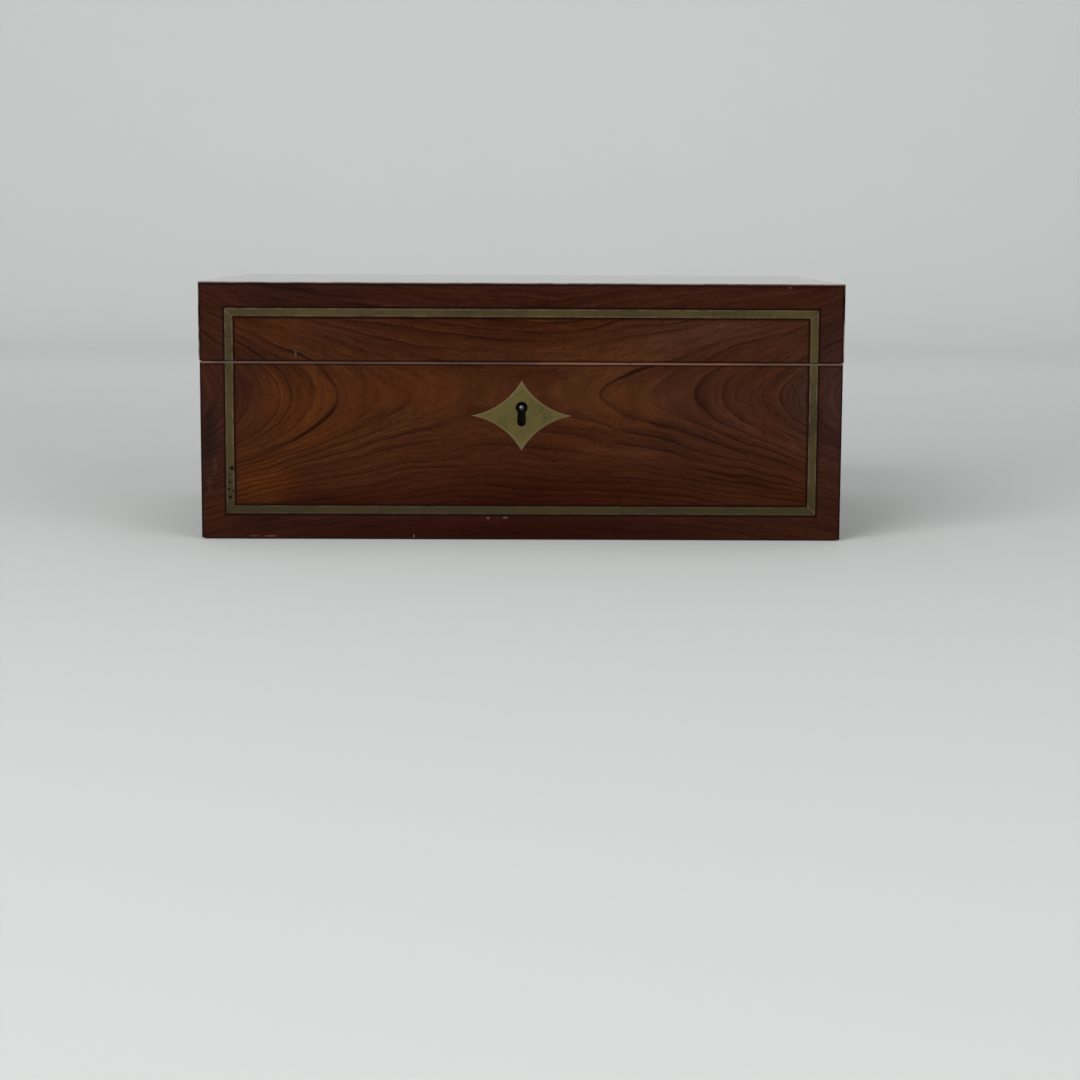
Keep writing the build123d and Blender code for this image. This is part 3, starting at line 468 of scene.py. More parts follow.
@dataclass(frozen=True)
class Veneer(Finish):
    """French-polished figured veneer."""

    sheet: Sheet
    tones: Woodtones
    coat: float
    base_gloss: float = 0.02
    figure: Figure = FRONT_FIGURE
    patches: tuple[Patch, ...] = ()
    glue_and_shade: float = 0.7
    contrast: float = 1.0
    coat_ior: float = 1.5
    rubbed_and_highlit: Colour = (0.300, 0.225, 0.180)
    chipped: Colour = (0.170, 0.105, 0.075)

    def paint(self, g: Graph) -> None:
        """Lays on the tree's figure, the edges with their painted shade, rubbed polish and painted
        highlight, and the polish.

        Args:
            g: the material.
        """
        across = g.y if self.sheet is Sheet.END else g.x
        up = g.y if self.sheet is Sheet.TOP else g.z
        swerve = g.wander(36.0, 1.5, 6.0)
        waves = g.noise(g.vector(across / 26.0, up / 13.0), detail=1.0) - 0.5
        across = across + g.wander(9.0, 1.0, 20.0) + swerve
        up = up + g.wander(15.0, 1.0, 7.0) + swerve * 0.45 + waves * 3.6
        colour, pores = self._colour(g, across, up)
        colour, rubbed_and_highlit = self._edges(g, colour)
        cloud = g.noise(g.place, 40.0, 3.0)
        g.set(Base_Color=colour, Roughness=0.34 + cloud * 0.12 + pores * 0.2)
        g.set(Specular_IOR_Level=self.base_gloss, Coat_Roughness=0.07, Coat_IOR=self.coat_ior)
        g.set(Coat_Weight=(1.0 - rubbed_and_highlit * 0.7) * self._polish(g))
        ripple = g.noise(g.place, 55.0, 1.0) * 0.7 + (1.0 - pores) * 0.3
        g.bump(ripple, 0.25, 0.05)

    def _rings(self, g: Graph, across: Signal, up: Signal) -> tuple[Signal, Signal]:
        """Counts the rings of the tree.

        Args:
            g: the material.
            across: distance along the sheet.
            up: distance across it.

        Returns:
            A value in millimetres that is the same all along a ring, and how fast it changes.
        """
        figure = self.figure
        fall = g.rise(across, -50.0, 50.0, figure.left_fall, figure.right_fall) * across
        over = up - figure.level
        depth = g.most(figure.depth - across * fall, figure.least)
        rings = (depth + over * over) ** 0.5
        return rings, (fall * fall + over * over) ** 0.5 / rings

    def _colour(self, g: Graph, across: Signal, up: Signal) -> tuple[Signal, Signal]:
        """Colours the rings, the sharp lines and the broad tones.

        Args:
            g: the material.
            across: distance along the sheet.
            up: distance across it.

        Returns:
            The colour, and the open pores from 0 to 1.
        """
        tones = self.tones
        rings, slope = self._rings(g, across, up)
        uneven = (g.noise(g.vector(rings / 8.0, across / 200.0, up / 200.0), detail=1.0) - 0.5) * 6.0
        part = g.math("FRACT", (rings + uneven) / self.figure.ring)
        strong = g.rise(g.noise(g.vector(rings / 5.0, across / 60.0, up / 60.0)), 0.36, 0.66)
        late = part * part * strong
        broad = g.noise(g.vector(rings / 20.0, across / 90.0, up / 90.0), detail=2.0)
        bands = g.noise(g.vector(rings / 2.4, across / 60.0, up / 60.0), detail=3.0, roughness=0.6)
        fibres = g.noise(g.vector(rings * 1.8, across / 9.0, up / 9.0), detail=4.0, roughness=0.7)
        tone = broad * 0.75 + bands * 0.80 + fibres * 0.95 - late * 0.36 * self.contrast - 0.63
        stops = ((0.16, tones.dark), (0.42, tones.middle), (0.66, tones.light), (0.90, tones.streak))
        colour = g.ramp(tone, stops)
        for patch in self.patches:
            reach = g.bell(g.x, patch.x, patch.reach_x) * g.bell(g.z, patch.z, patch.reach_z)
            shades = ((0.10, shade(patch.tone, 0.45)), (0.80, shade(patch.tone, 1.5)))
            colour = g.mix(reach * patch.share, colour, g.ramp(tone, shades))
        near = (1.0 - part) * self.figure.ring / slope
        edge = g.rise(near, 1.05, 0.10) * g.rise(slope, 0.05, 0.30)
        colour = g.mix(edge * (0.08 + strong * 0.40) * self.contrast, colour, tones.line)
        if self.figure.sharp_left:
            colour = self._sharp_lines(g, rings, slope, across, colour)
        pores = g.rise(g.noise(g.vector(rings * 3.4, across * 0.40, up * 0.40), detail=1.0), 0.58, 0.72)
        pores = pores * g.rise(slope, 0.08, 0.34, 0.15, 1.0)
        return g.mix(pores * 0.50, colour, tones.line), pores

    def _sharp_lines(self, g: Graph, rings: Signal, slope: Signal, across: Signal,
                     colour: Signal) -> Signal:
        """Draws the one dark ring that stands out at each end of the front.

        Args:
            g: the material.
            rings: the ring count.
            slope: how fast it changes.
            across: distance along the sheet.
            colour: the wood's colour.

        Returns:
            The colour with those rings in it.
        """
        figure = self.figure
        faint = g.rise(g.noise(g.place, 45.0, 1.0), 0.36, 0.58)
        ends = (
            (figure.sharp_left, figure.left_fall, -20.0),
            (figure.sharp_right, figure.right_fall, 12.0),
        )
        for place, fall, start in ends:
            count = math.sqrt(figure.depth - fall * place * place)
            line = g.rise(abs(rings - count) / slope, 1.2, 0.20) * g.rise(across, start, start * 1.8)
            apex = g.rise((across - place) ** 2.0, 1500.0, 150.0, 0.28, 1.0)
            colour = g.mix(line * apex * (0.45 + faint * 0.42), colour, self.tones.line)
        return colour

    def _polish(self, g: Graph) -> Number:
        """How much polish there is: all of it on the face, hardly any on the edge of the top."""
        if self.sheet is not Sheet.TOP:
            return self.coat
        return g.rise(g.z, CASE_HIGH.z - 0.7, CASE_HIGH.z - 0.2, 0.05, self.coat)

    def _edges(self, g: Graph, colour: Signal) -> tuple[Signal, Signal]:
        """Darkens the glue lines, the split between lid and base and the arrises, partly with painted
        shade, and makes the outermost edges pale in places, partly rubbed and partly a painted highlight.

        Args:
            g: the material.
            colour: the wood's colour.

        Returns:
            The colour, and how far the polish is rubbed away, a mask that also carries the painted
            highlight on the top front arris.
        """
        line = self.tones.line
        if self.sheet in (Sheet.FRONT, Sheet.TOP):
            # Dark lines beside the brass: partly a dark glue line, partly painted shade along the brass.
            glue_and_shade = g.rise(StringLine.of(g, self.sheet).edge, 0.2 * self.glue_and_shade, self.glue_and_shade, 1.0, 0.0)
            colour = g.mix(glue_and_shade * 0.90, colour, line)
        rim = mm_box("base_rim_facing")[0].z
        shut = mm_box("lid_front_veneer")[0].z
        # Painted shade in the split between lid and base: a dark line under the rim facing, partly a dark
        # glue line, and one along the lid's lower edge.
        at_rim = g.rise(g.z, rim - 1.1, rim - 0.3) * g.rise(g.z, rim + 0.5, rim)
        split_shade_and_glue = g.most(at_rim, g.bell(g.z, shut, 0.9))
        colour = g.mix(split_shade_and_glue * 0.80, colour, line)
        patchy = g.rise(g.noise(g.place, 90.0, 2.0), 0.38, 0.60)
        from_side = CASE_HIGH.x - abs(g.x)
        from_face = CASE_HIGH.y - abs(g.y)
        from_top = CASE_HIGH.z - g.z
        # Painted shade: a dark band just in from the side and top arrises; on the top, on the front face of
        # its edge.
        arris_shade = g.most(g.rise(from_side, 1.6, 0.5), g.rise(from_top, 1.9, 0.9))
        if self.sheet is Sheet.TOP:
            arris_shade = g.rise(from_top, 0.5, 0.9) * g.rise(from_face, 0.3, 0.1)
        if self.sheet in (Sheet.FRONT, Sheet.TOP):
            colour = g.mix(arris_shade * 0.88, colour, line)
        if self.sheet is Sheet.FRONT:
            colour = self._nicks(g, colour)
        # Pale edges: polish rubbed through at the corners, and a painted highlight along the top front
        # arris.
        at_side, at_face, at_top = (g.rise(gap, 0.6, 0.2) for gap in (from_side, from_face, from_top))
        corner = g.most(at_side * at_face, at_side * at_top)
        rubbed_and_highlit = g.most(corner * patchy, at_face * at_top * (0.45 + patchy * 0.55))
        return g.mix(rubbed_and_highlit * 0.85, colour, self.rubbed_and_highlit), rubbed_and_highlit

    def _nicks(self, g: Graph, colour: Signal) -> Signal:
        """Knocks the front about: small pale marks where the polish is chipped.

        Args:
            g: the material.
            colour: the wood's colour.

        Returns:
            The colour with the marks on it.
        """
        ragged = 0.3 + g.noise(g.place, 1100.0, 2.0) * 1.4
        for nick in NICKS:
            out = ((g.x - nick.x) / nick.half_x) ** 2.0 + ((g.z - nick.z) / nick.half_z) ** 2.0
            colour = g.mix(g.rise(out * ragged, 1.2, 0.4) * nick.strength, colour, self.chipped)
        return colour


@dataclass(frozen=True)
class PlainWood(Finish):
    """Straight-grained wood of the boards and fittings, its grain along the case."""

    dark: Colour
    light: Colour
    gloss: float

    def paint(self, g: Graph) -> None:
        """Lays on the grain, its open pores and a thin polish.

        Args:
            g: the material.
        """
        sway = g.wander(11.0, 1.0, 14.0)
        count = g.vector((g.y + sway) / 3.0, g.x / 120.0, (g.z + sway) / 3.0)
        rings = g.noise(count, detail=3.0, roughness=0.6)
        pores = g.rise(g.noise(g.vector(g.y * 1.6, g.x * 0.16, g.z * 1.6), detail=1.0), 0.62, 0.74)
        colour = g.ramp(rings, ((0.3, self.dark), (0.7, self.light)))
        colour = g.mix(pores * 0.5, colour, shade(self.dark, 0.35))
        g.set(Base_Color=colour, Roughness=0.62 - rings * 0.14 + pores * 0.15)
        g.set(Specular_IOR_Level=0.3, Coat_Weight=self.gloss, Coat_Roughness=0.2)
        g.bump(rings * 0.6 + (1.0 - pores) * 0.4, 0.3, 0.06)


@dataclass(frozen=True)
class RimFacing(Finish):
    """Thin worn strip on the sawn rims, pale where hands have rubbed it."""

    name: str = "rim_facing_worn"
    low: Colour = (0.070, 0.021, 0.0090)
    high: Colour = (0.190, 0.074, 0.0370)
    crossing: Colour = (0.062, 0.045, 0.020)

    def paint(self, g: Graph) -> None:
        """Lays on the rubbed and the soiled stretches.

        Args:
            g: the material.
        """
        fibre = g.noise(g.vector(g.x / 14.0, g.y * 0.9, g.z * 2.5), detail=3.0, roughness=0.6)
        patch = g.noise(g.place, 26.0, 2.0)
        tone = fibre * 0.6 + patch * 0.7 - 0.15
        colour = g.ramp(tone, ((0.25, self.low), (0.65, self.high)))
        darkened = g.rise(g.noise(g.vector(g.x / 30.0, g.y / 30.0), detail=3.0, roughness=0.7), 0.46, 0.62)
        colour = g.mix(darkened * 0.40, colour, shade(self.low, 0.5))
        colour = self._outer_edge(g, colour)
        g.set(Base_Color=colour, Roughness=0.5 + fibre * 0.15)
        g.set(Specular_IOR_Level=0.35, Coat_Weight=0.1, Coat_Roughness=0.2)
        g.bump(fibre, 0.3, 0.05)

    def _outer_edge(self, g: Graph, colour: Signal) -> Signal:
        """Dulls the strip's front edge where hands miss it, and lets the brass line cross it.

        Args:
            g: the material.
            colour: the strip's colour.

        Returns:
            The colour with the front edge's own tones.
        """
        outer = g.rise(g.y, CASE_LOW.y + 0.5, CASE_LOW.y + 0.1)
        grasped = g.rise(g.x, -4.0, 14.0) * g.rise(g.x, 112.0, 94.0, 0.35, 1.0)
        grasped = g.most(grasped, g.rise(g.x, CASE_LOW.x + 10.0, CASE_LOW.x + 2.0))
        colour = g.mix(outer * (0.62 - grasped * 0.45), colour, shade(self.low, 0.4))
        middle = mm_box("lid_front_stringing")[1].x - STRING_WIDTH / 2
        crossed = g.rise(abs(abs(g.x) - middle), STRING_WIDTH / 2 + 0.15, STRING_WIDTH / 2 - 0.15)
        return g.mix(outer * crossed * 0.9, colour, self.crossing)


@dataclass(frozen=True)
class Pit:
    """A hole eaten into the brass line, with its radius in millimetres."""

    x: float
    z: float
    radius: float


PITS = (
    Pit(-126.3, 31.2, 1.40),
    Pit(-127.3, 25.0, 1.05),
    Pit(-127.6, 21.8, 1.00),
    Pit(-127.0, 18.4, 1.15),
    Pit(-125.9, 21.0, 0.50),
    Pit(-127.4, 28.2, 0.55),
    Pit(-127.9, 36.5, 0.50),
)


@dataclass(frozen=True)
class TarnishedBrass(Finish):
    """Inlaid brass gone olive along its middle, paler at its edges from wear and a painted highlight, with
    stains and joints.
    """

    sheet: Sheet = Sheet.FRONT
    dull: Colour = (0.029, 0.0195, 0.0050)
    bright: Colour = (0.082, 0.0565, 0.0180)
    edge: Colour = (0.130, 0.0960, 0.0520)
    gap: Colour = (0.008, 0.006, 0.003)
    pit: Colour = (0.007, 0.0055, 0.002)
    pits: tuple[Pit, ...] = ()
    joints: tuple[float, ...] = ()
    coat: float = 0.0
    coat_ior: float = 1.3

    def paint(self, g: Graph) -> None:
        """Lays on the tarnish, the pale edges and their painted highlight, the scratches, the joints and
        the pits.

        Args:
            g: the material.
        """
        cloud = g.noise(g.place, 30.0, 4.0, 0.62)
        speck = g.noise(g.place, 480.0, 3.0, 0.6)
        tone = cloud * 0.95 + speck * 0.40 - 0.17
        colour = g.ramp(tone, ((0.25, self.dull), (0.78, self.bright)))
        line = StringLine.of(g, self.sheet)
        # Paler edges and the pale side of each mitre: partly wear, partly a painted highlight on the brass
        # line's edges.
        wear_and_glint = g.rise(g.noise(g.place, 160.0, 2.0), 0.38, 0.66)
        colour = g.mix(g.rise(line.edge, 0.95, 0.15) * wear_and_glint * 0.55, colour, self.edge)
        colour = g.mix(g.rise(g.z, 30.0, 12.0) * 0.55, colour, self.dull)
        slant = g.vector(g.x * 2.0 + g.z * 1.4, g.z * 0.1, g.y)
        scratch = g.rise(g.noise(slant), 0.62, 0.70)
        colour = g.mix(scratch * wear_and_glint * 0.45, colour, shade(self.dull, 0.4))
        colour = g.mix(g.rise(abs(line.mitre - 0.35), 0.75, 0.20) * wear_and_glint * 0.60, colour, self.edge)
        gap = g.rise(abs(line.mitre + 0.12), 0.32, 0.10)
        for joint in self.joints:
            gap = g.most(gap, g.bell(g.x, joint, 0.32))
        colour = g.mix(gap * 0.75, colour, self.gap)
        eaten = self._eaten(g)
        alloy = 0.55 + cloud * 0.25
        g.set(Base_Color=g.mix(eaten * 0.90, colour, self.pit), Metallic=alloy + (1.0 - alloy) * eaten)
        g.set(Roughness=0.46 + speck * 0.18 + eaten * 0.3, Specular_IOR_Level=0.4)
        g.set(Coat_Weight=self.coat, Coat_Roughness=0.07, Coat_IOR=self.coat_ior)
        g.bump(speck * 0.5 + (1.0 - eaten) * 0.5, 0.25, 0.04)

    def _eaten(self, g: Graph) -> Signal:
        """The pits, from 0 to 1.

        Args:
            g: the material.

        Returns:
            Where the brass is eaten away.
        """
        ragged = g.wander(700.0, 1.0, 0.9)
        eaten = g.rise(g.noise(g.place, 330.0, 1.0), 0.80, 0.84)
        for pit in self.pits:
            away = ((g.x - pit.x) ** 2.0 + (g.z - pit.z) ** 2.0) ** 0.5 + ragged
            eaten = g.most(eaten, g.rise(away, pit.radius, pit.radius * 0.20))
        return eaten


@dataclass(frozen=True)
class StringLine:
    """Where a point is against the brass line of a sheet, in millimetres."""

    edge: Signal
    mitre: Signal

    @staticmethod
    def of(g: Graph, sheet: Sheet) -> "StringLine":
        """Measures from the line's rectangle.

        Args:
            g: the material.
            sheet: the sheet that the line is let into.

        Returns:
            Distance from its nearer edge, and distance from its mitres.
        """
        low, high = mm_box("lid_top_stringing")
        up, bottom, top = g.y, low.y, high.y
        if sheet is Sheet.FRONT:
            up, bottom, top = g.z, mm_box("base_stringing")[0].z, mm_box("lid_front_stringing")[1].z
        along = abs(g.x) - high.x
        over = abs(up - (bottom + top) / 2) - (top - bottom) / 2
        outer = g.most(along, over)
        edge = g.math("MINIMUM", abs(outer), abs(outer + STRING_WIDTH))
        return StringLine(edge, along - over)


@dataclass(frozen=True)
class Escutcheon(Finish):
    """Keyhole plate: olive brass with a paler rubbed rim and greenish stains."""

    name: str = "escutcheon_brass"
    brass: Colour = (0.098, 0.074, 0.0145)
    stain: Colour = (0.038, 0.035, 0.008)
    rim: Colour = (0.160, 0.118, 0.062)
    scratched: Colour = (0.020, 0.024, 0.010)
    stained_at: float = 12.0
    hollow_power: float = 0.80

    def paint(self, g: Graph) -> None:
        """Lays on the stains, the scratches and the rubbed rim, which follows the hollow sides.

        Args:
            g: the material.
        """
        low, high = mm_box("keyhole_escutcheon")
        half = (high - low) / 2
        middle = (high + low) / 2
        out = (abs(g.x - middle.x) / half.x) ** self.hollow_power
        out = out + (abs(g.z - middle.z) / half.z) ** self.hollow_power
        cloud = g.noise(g.place, 95.0, 4.0, 0.65)
        rim = g.rise(out + cloud * 0.12, 0.86, 1.02)
        speck = g.noise(g.place, 520.0, 3.0, 0.6)
        colour = g.mix(g.rise(cloud + speck * 0.4, 0.60, 0.90) * 0.42, self.brass, self.stain)
        slant = g.vector(g.x * 0.8 - g.z * 1.5, g.z * 0.12, 2.0)
        scratch = g.rise(g.noise(slant, 1.6, 1.0), 0.63, 0.70) * g.rise(speck, 0.45, 0.60)
        colour = g.mix(scratch * 0.6, colour, self.scratched)
        patch = g.rise(g.noise(g.place, 210.0, 2.0), 0.54, 0.64)
        patch = patch * g.rise(abs(g.x - self.stained_at), 9.0, 3.0)
        colour = g.mix(patch * 0.45, colour, self.stain)
        colour = g.mix(rim * 0.75, colour, self.rim)
        g.set(Base_Color=colour, Metallic=0.6 + rim * 0.2, Roughness=0.42 + speck * 0.2 - rim * 0.08)
        g.bump(speck * 0.6 + (1.0 - scratch) * 0.4, 0.2, 0.04)


@dataclass(frozen=True)
class Metal(Finish):
    """Worked metal with file marks, dulling and fine wear, and painted shade on the lock where it shows
    through the keyhole.
    """

    base: Colour
    dull: Colour
    rough: float
    grain: float = 0.2
    wear: float = 0.35
    darkened: bool = False
    keyhole_shade: Colour = (0.010, 0.008, 0.006)

    def paint(self, g: Graph) -> None:
        """Lays on the file marks, the dull patches and the painted keyhole shade.

        Args:
            g: the material.
        """
        cloud = g.noise(g.place, 70.0, 4.0, 0.6)
        lines = g.noise(g.vector(g.x * 0.08, g.y * 3.0, g.z * 3.0), 2.0, 2.0)
        dulled = g.rise(cloud, 0.42, 0.66) * self.wear
        colour = g.mix(dulled, self.base, self.dull)
        # Painted shade: the lock's front, seen through the keyhole, goes near black and dull.
        if self.darkened:
            _, inner = mm_box("lock_plate")
            keyhole_shade = g.rise(g.y, inner.y - 1.0, inner.y - 1.3) * g.rise(g.z, inner.z - 0.6, inner.z - 1.2)
            colour = g.mix(keyhole_shade * 0.96, colour, self.keyhole_shade)
            dulled = g.most(dulled, keyhole_shade)
        g.set(Base_Color=colour, Metallic=1.0 - dulled * 0.4)
        g.set(Roughness=self.rough + lines * self.grain * 0.5 + dulled * 0.3)
        g.bump(lines, self.grain, 0.02)


@dataclass(frozen=True)
class PinEnd(Finish):
    """Steel pin with a painted highlight on one side of its end, as on a domed end, and painted shade round
    its rim.
    """

    name: str = "drill_pin_steel"
    bright: Colour = (0.46, 0.46, 0.45)
    dark: Colour = (0.050, 0.047, 0.043)
    spot: float = 0.75
    aside: float = -0.30
    above: float = 0.25

    def paint(self, g: Graph) -> None:
        """Lays on the turned rings and the painted highlight.

        Args:
            g: the material.
        """
        low, high = mm_box("lock_drill_pin")
        middle = (low + high) / 2
        away = ((g.x - middle.x - self.aside) ** 2.0 + (g.z - middle.z - self.above) ** 2.0) ** 0.5
        turned = g.noise(g.vector(away * 6.0, g.y * 0.1), detail=2.0)
        # Painted highlight: a bright spot off the middle of the pin's end, with painted shade round it.
        spot = g.rise(away + turned * 0.25, self.spot, self.spot * 0.45)
        g.set(Base_Color=g.mix(spot, self.dark, self.bright), Metallic=0.9, Roughness=0.42 - spot * 0.12)
        g.bump(turned, 0.15, 0.02)


@dataclass(frozen=True)
class Pile(Finish):
    """Cloth with a short pile: velvet or baize."""

    deep: Colour
    raised: Colour
    sheen: float
    weave: float = 2400.0
    crushed: float = 0.65

    def paint(self, g: Graph) -> None:
        """Lays on the tufts and the stroked and crushed places.

        Args:
            g: the material.
        """
        stroked = g.vector(g.x / 22.0, g.y / 9.0, g.z / 9.0)
        crush = g.noise(stroked, detail=3.0, roughness=0.55, warp=0.25)
        tuft = g.noise(g.place, self.weave, 2.0, 0.7)
        tone = (crush - 0.5) * self.crushed + tuft * 0.6 + 0.2
        g.set(Base_Color=g.ramp(tone, ((0.3, self.deep), (0.75, self.raised))))
        g.set(Roughness=0.88 + tuft * 0.1, Specular_IOR_Level=0.1)
        g.set(Sheen_Weight=self.sheen, Sheen_Roughness=0.4)
        g.bump(tuft * 0.8 + crush * 0.2, 0.5, 0.25)


@dataclass(frozen=True)
class Glass(Finish):
    """Clear glass, a little uneven, with handling marks."""

    tint: Colour
    rough: float = 0.02

    def paint(self, g: Graph) -> None:
        """Lays on the smears and the uneven surface.

        Args:
            g: the material.
        """
        smear = g.noise(g.place, 60.0, 3.0)
        g.set(Base_Color=g.mix(smear * 0.3, self.tint, shade(self.tint, 0.93)))
        g.set(Roughness=self.rough + g.rise(smear, 0.5, 0.75) * 0.05)
        g.set(Transmission_Weight=1.0, IOR=1.52)
        g.bump(g.noise(g.place, 35.0, 1.0), 0.08, 0.1)


@dataclass(frozen=True)
class LookingGlass(Finish):
    """Silvered plate, a little foxed towards its edges."""

    name: str = "looking_glass"
    silver: Colour = (0.80, 0.82, 0.81)
    foxed: Colour = (0.060, 0.050, 0.040)

    def paint(self, g: Graph) -> None:
        """Lays on the silver and the spots in it.

        Args:
            g: the material.
        """
        _, high = mm_box("mirror_glass")
        edge = g.math("MINIMUM", high.x - abs(g.x), high.y - abs(g.y))
        blot = g.noise(g.place, 170.0, 4.0, 0.65) + g.noise(g.place, 30.0, 1.0) * 0.35
        fox = g.rise(blot, 0.78, 0.90) * g.rise(edge, 1.0, 16.0, 1.0, 0.06)
        g.set(Base_Color=g.mix(fox * 0.85, self.silver, self.foxed))
        g.set(Metallic=1.0, Roughness=0.03 + fox * 0.30)


def soften_edges(piece: bpy.types.Object, width: float, segments: int, mitred: bool = False) -> None:
    """Bevels the sharp edges of a piece.

    Args:
        piece: the piece.
        width: the bevel's width in millimetres.
        segments: how many facets it has.
        mitred: whether solids meet at mitres in the piece, where only an absolute width stays true.
    """
    bevel = piece.modifiers.new("soften", "BEVEL")
    bevel.width = width * MM
    bevel.offset_type = "ABSOLUTE" if mitred else "OFFSET"
    bevel.segments = segments
    bevel.limit_method = "ANGLE"
    bevel.angle_limit = BEVEL_ANGLE


@dataclass
class Finishes:
    """Every finish of the case, each built once, and the pieces that are given them."""

    made: dict[str, bpy.types.Material] = field(default_factory=dict)

    def get(self, finish: Finish) -> bpy.types.Material:
        """Builds a finish the first time that it is asked for.

        Args:
            finish: the finish.

        Returns:
            Its material.
        """
        if finish.name not in self.made:
            self.made[finish.name] = finish.material()
        return self.made[finish.name]

    def dress(self, finish: Finish, soften: float, *nodes: str, mitred: bool = False) -> None:
        """Gives CAD nodes a finish and softened edges.

        Args:
            finish: their finish.
            soften: the width of their edges' bevel in millimetres, or 0 for none.
            nodes: the CAD nodes.
            mitred: whether the solids of a node meet at mitres.
        """
        for node in nodes:
            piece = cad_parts[node]
            piece.data.materials.clear()
            piece.data.materials.append(self.get(finish))
            if soften:
                weld = piece.modifiers.new("join", "WELD")
                weld.merge_threshold = MERGE_DISTANCE
                soften_edges(piece, soften, 2, mitred)
            log.info("dressed %s in %s", node, finish.name)

    def add(self, name: str, mesh: bpy.types.Mesh, finish: Finish, body: str,
            slot: str) -> bpy.types.Object:
        """Adds a piece that moves with a CAD body.

        Args:
            name: what the piece is called.
            mesh: its mesh, in the row frame.
            finish: its finish.
            body: the CAD body that it rides on.
            slot: the record's material slot; not used.

        Returns:
            The piece.
        """
        mesh.name = name
        piece = add_object(name, mesh)
        piece.data.materials.append(self.get(finish))
        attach(piece, body)
        log.info("built %s on %s", name, body)
        return piece


def mesh_from(points: Sequence[Vector], faces: Sequence[Sequence[int]], smooth: bool) -> bpy.types.Mesh:
    """A mesh from its points and faces, with its normals outwards.

    Args:
        points: its points, in metres.
        faces: its faces as point numbers.
        smooth: whether it is shaded smooth.

    Returns:
        The mesh.
    """
    mesh = bpy.data.meshes.new("form")
    mesh.from_pydata([tuple(p) for p in points], [], [tuple(f) for f in faces])
    shape = bmesh.new()
    shape.from_mesh(mesh)
    bmesh.ops.remove_doubles(shape, verts=shape.verts, dist=MERGE_DISTANCE)
    bmesh.ops.recalc_face_normals(shape, faces=shape.faces)
    for face in shape.faces:
        face.smooth = smooth
    shape.to_mesh(mesh)
    shape.free()
    if smooth:
        mesh.set_sharp_from_angle(angle=SMOOTH_ANGLE)
    return mesh


def solid_boxes(node: str) -> list[tuple[Vector, Vector]]:
    """Boxes of the separate solids of a CAD node.

    Args:
        node: the CAD node.

    Returns:
        The low and high corner of each in millimetres, from left to right.
    """
    shape = bmesh.new()
    shape.from_mesh(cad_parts[node].data)
    bmesh.ops.remove_doubles(shape, verts=shape.verts, dist=MERGE_DISTANCE)
    left = set(shape.verts)
    boxes = []
    for first in shape.verts:
        if first not in left:
            continue
        left.discard(first)
        reached = [first]
        for vert in reached:
            found = {edge.other_vert(vert) for edge in vert.link_edges} & left
            left -= found
            reached.extend(found)
        corners = (Vector(pick(v.co[i] for v in reached) for i in range(3)) for pick in (min, max))
        boxes.append(tuple(corner * MM_PER_METRE for corner in corners))
    shape.free()
    return sorted(boxes, key=lambda box: tuple(round(value, 2) for value in box[0]))


def uneven_steps(low: float, high: float, stops: Sequence[float] = ()) -> list[float]:
    """Places along a side, close together near its ends and its stops.

    Args:
        low: where the side starts, in millimetres.
        high: where it ends.
        stops: the places between that an edge falls on.

    Returns:
        The places in order.
    """
    fixed = [low, *stops, high]
    places = {low, high}
    for start, end in zip(fixed, fixed[1:]):
        span = end - start
        near = [step for step in (0.0, 0.4, 1.0, 2.0, 3.5, 6.0, 9.0) if step < span / 2]
        places.update([start + step for step in near] + [end - step for step in near])
        coarse = max(1, round((span - 2 * near[-1]) / 6.0))
        places.update(start + near[-1] + (span - 2 * near[-1]) * i / coarse for i in range(1, coarse))
    return sorted(places)


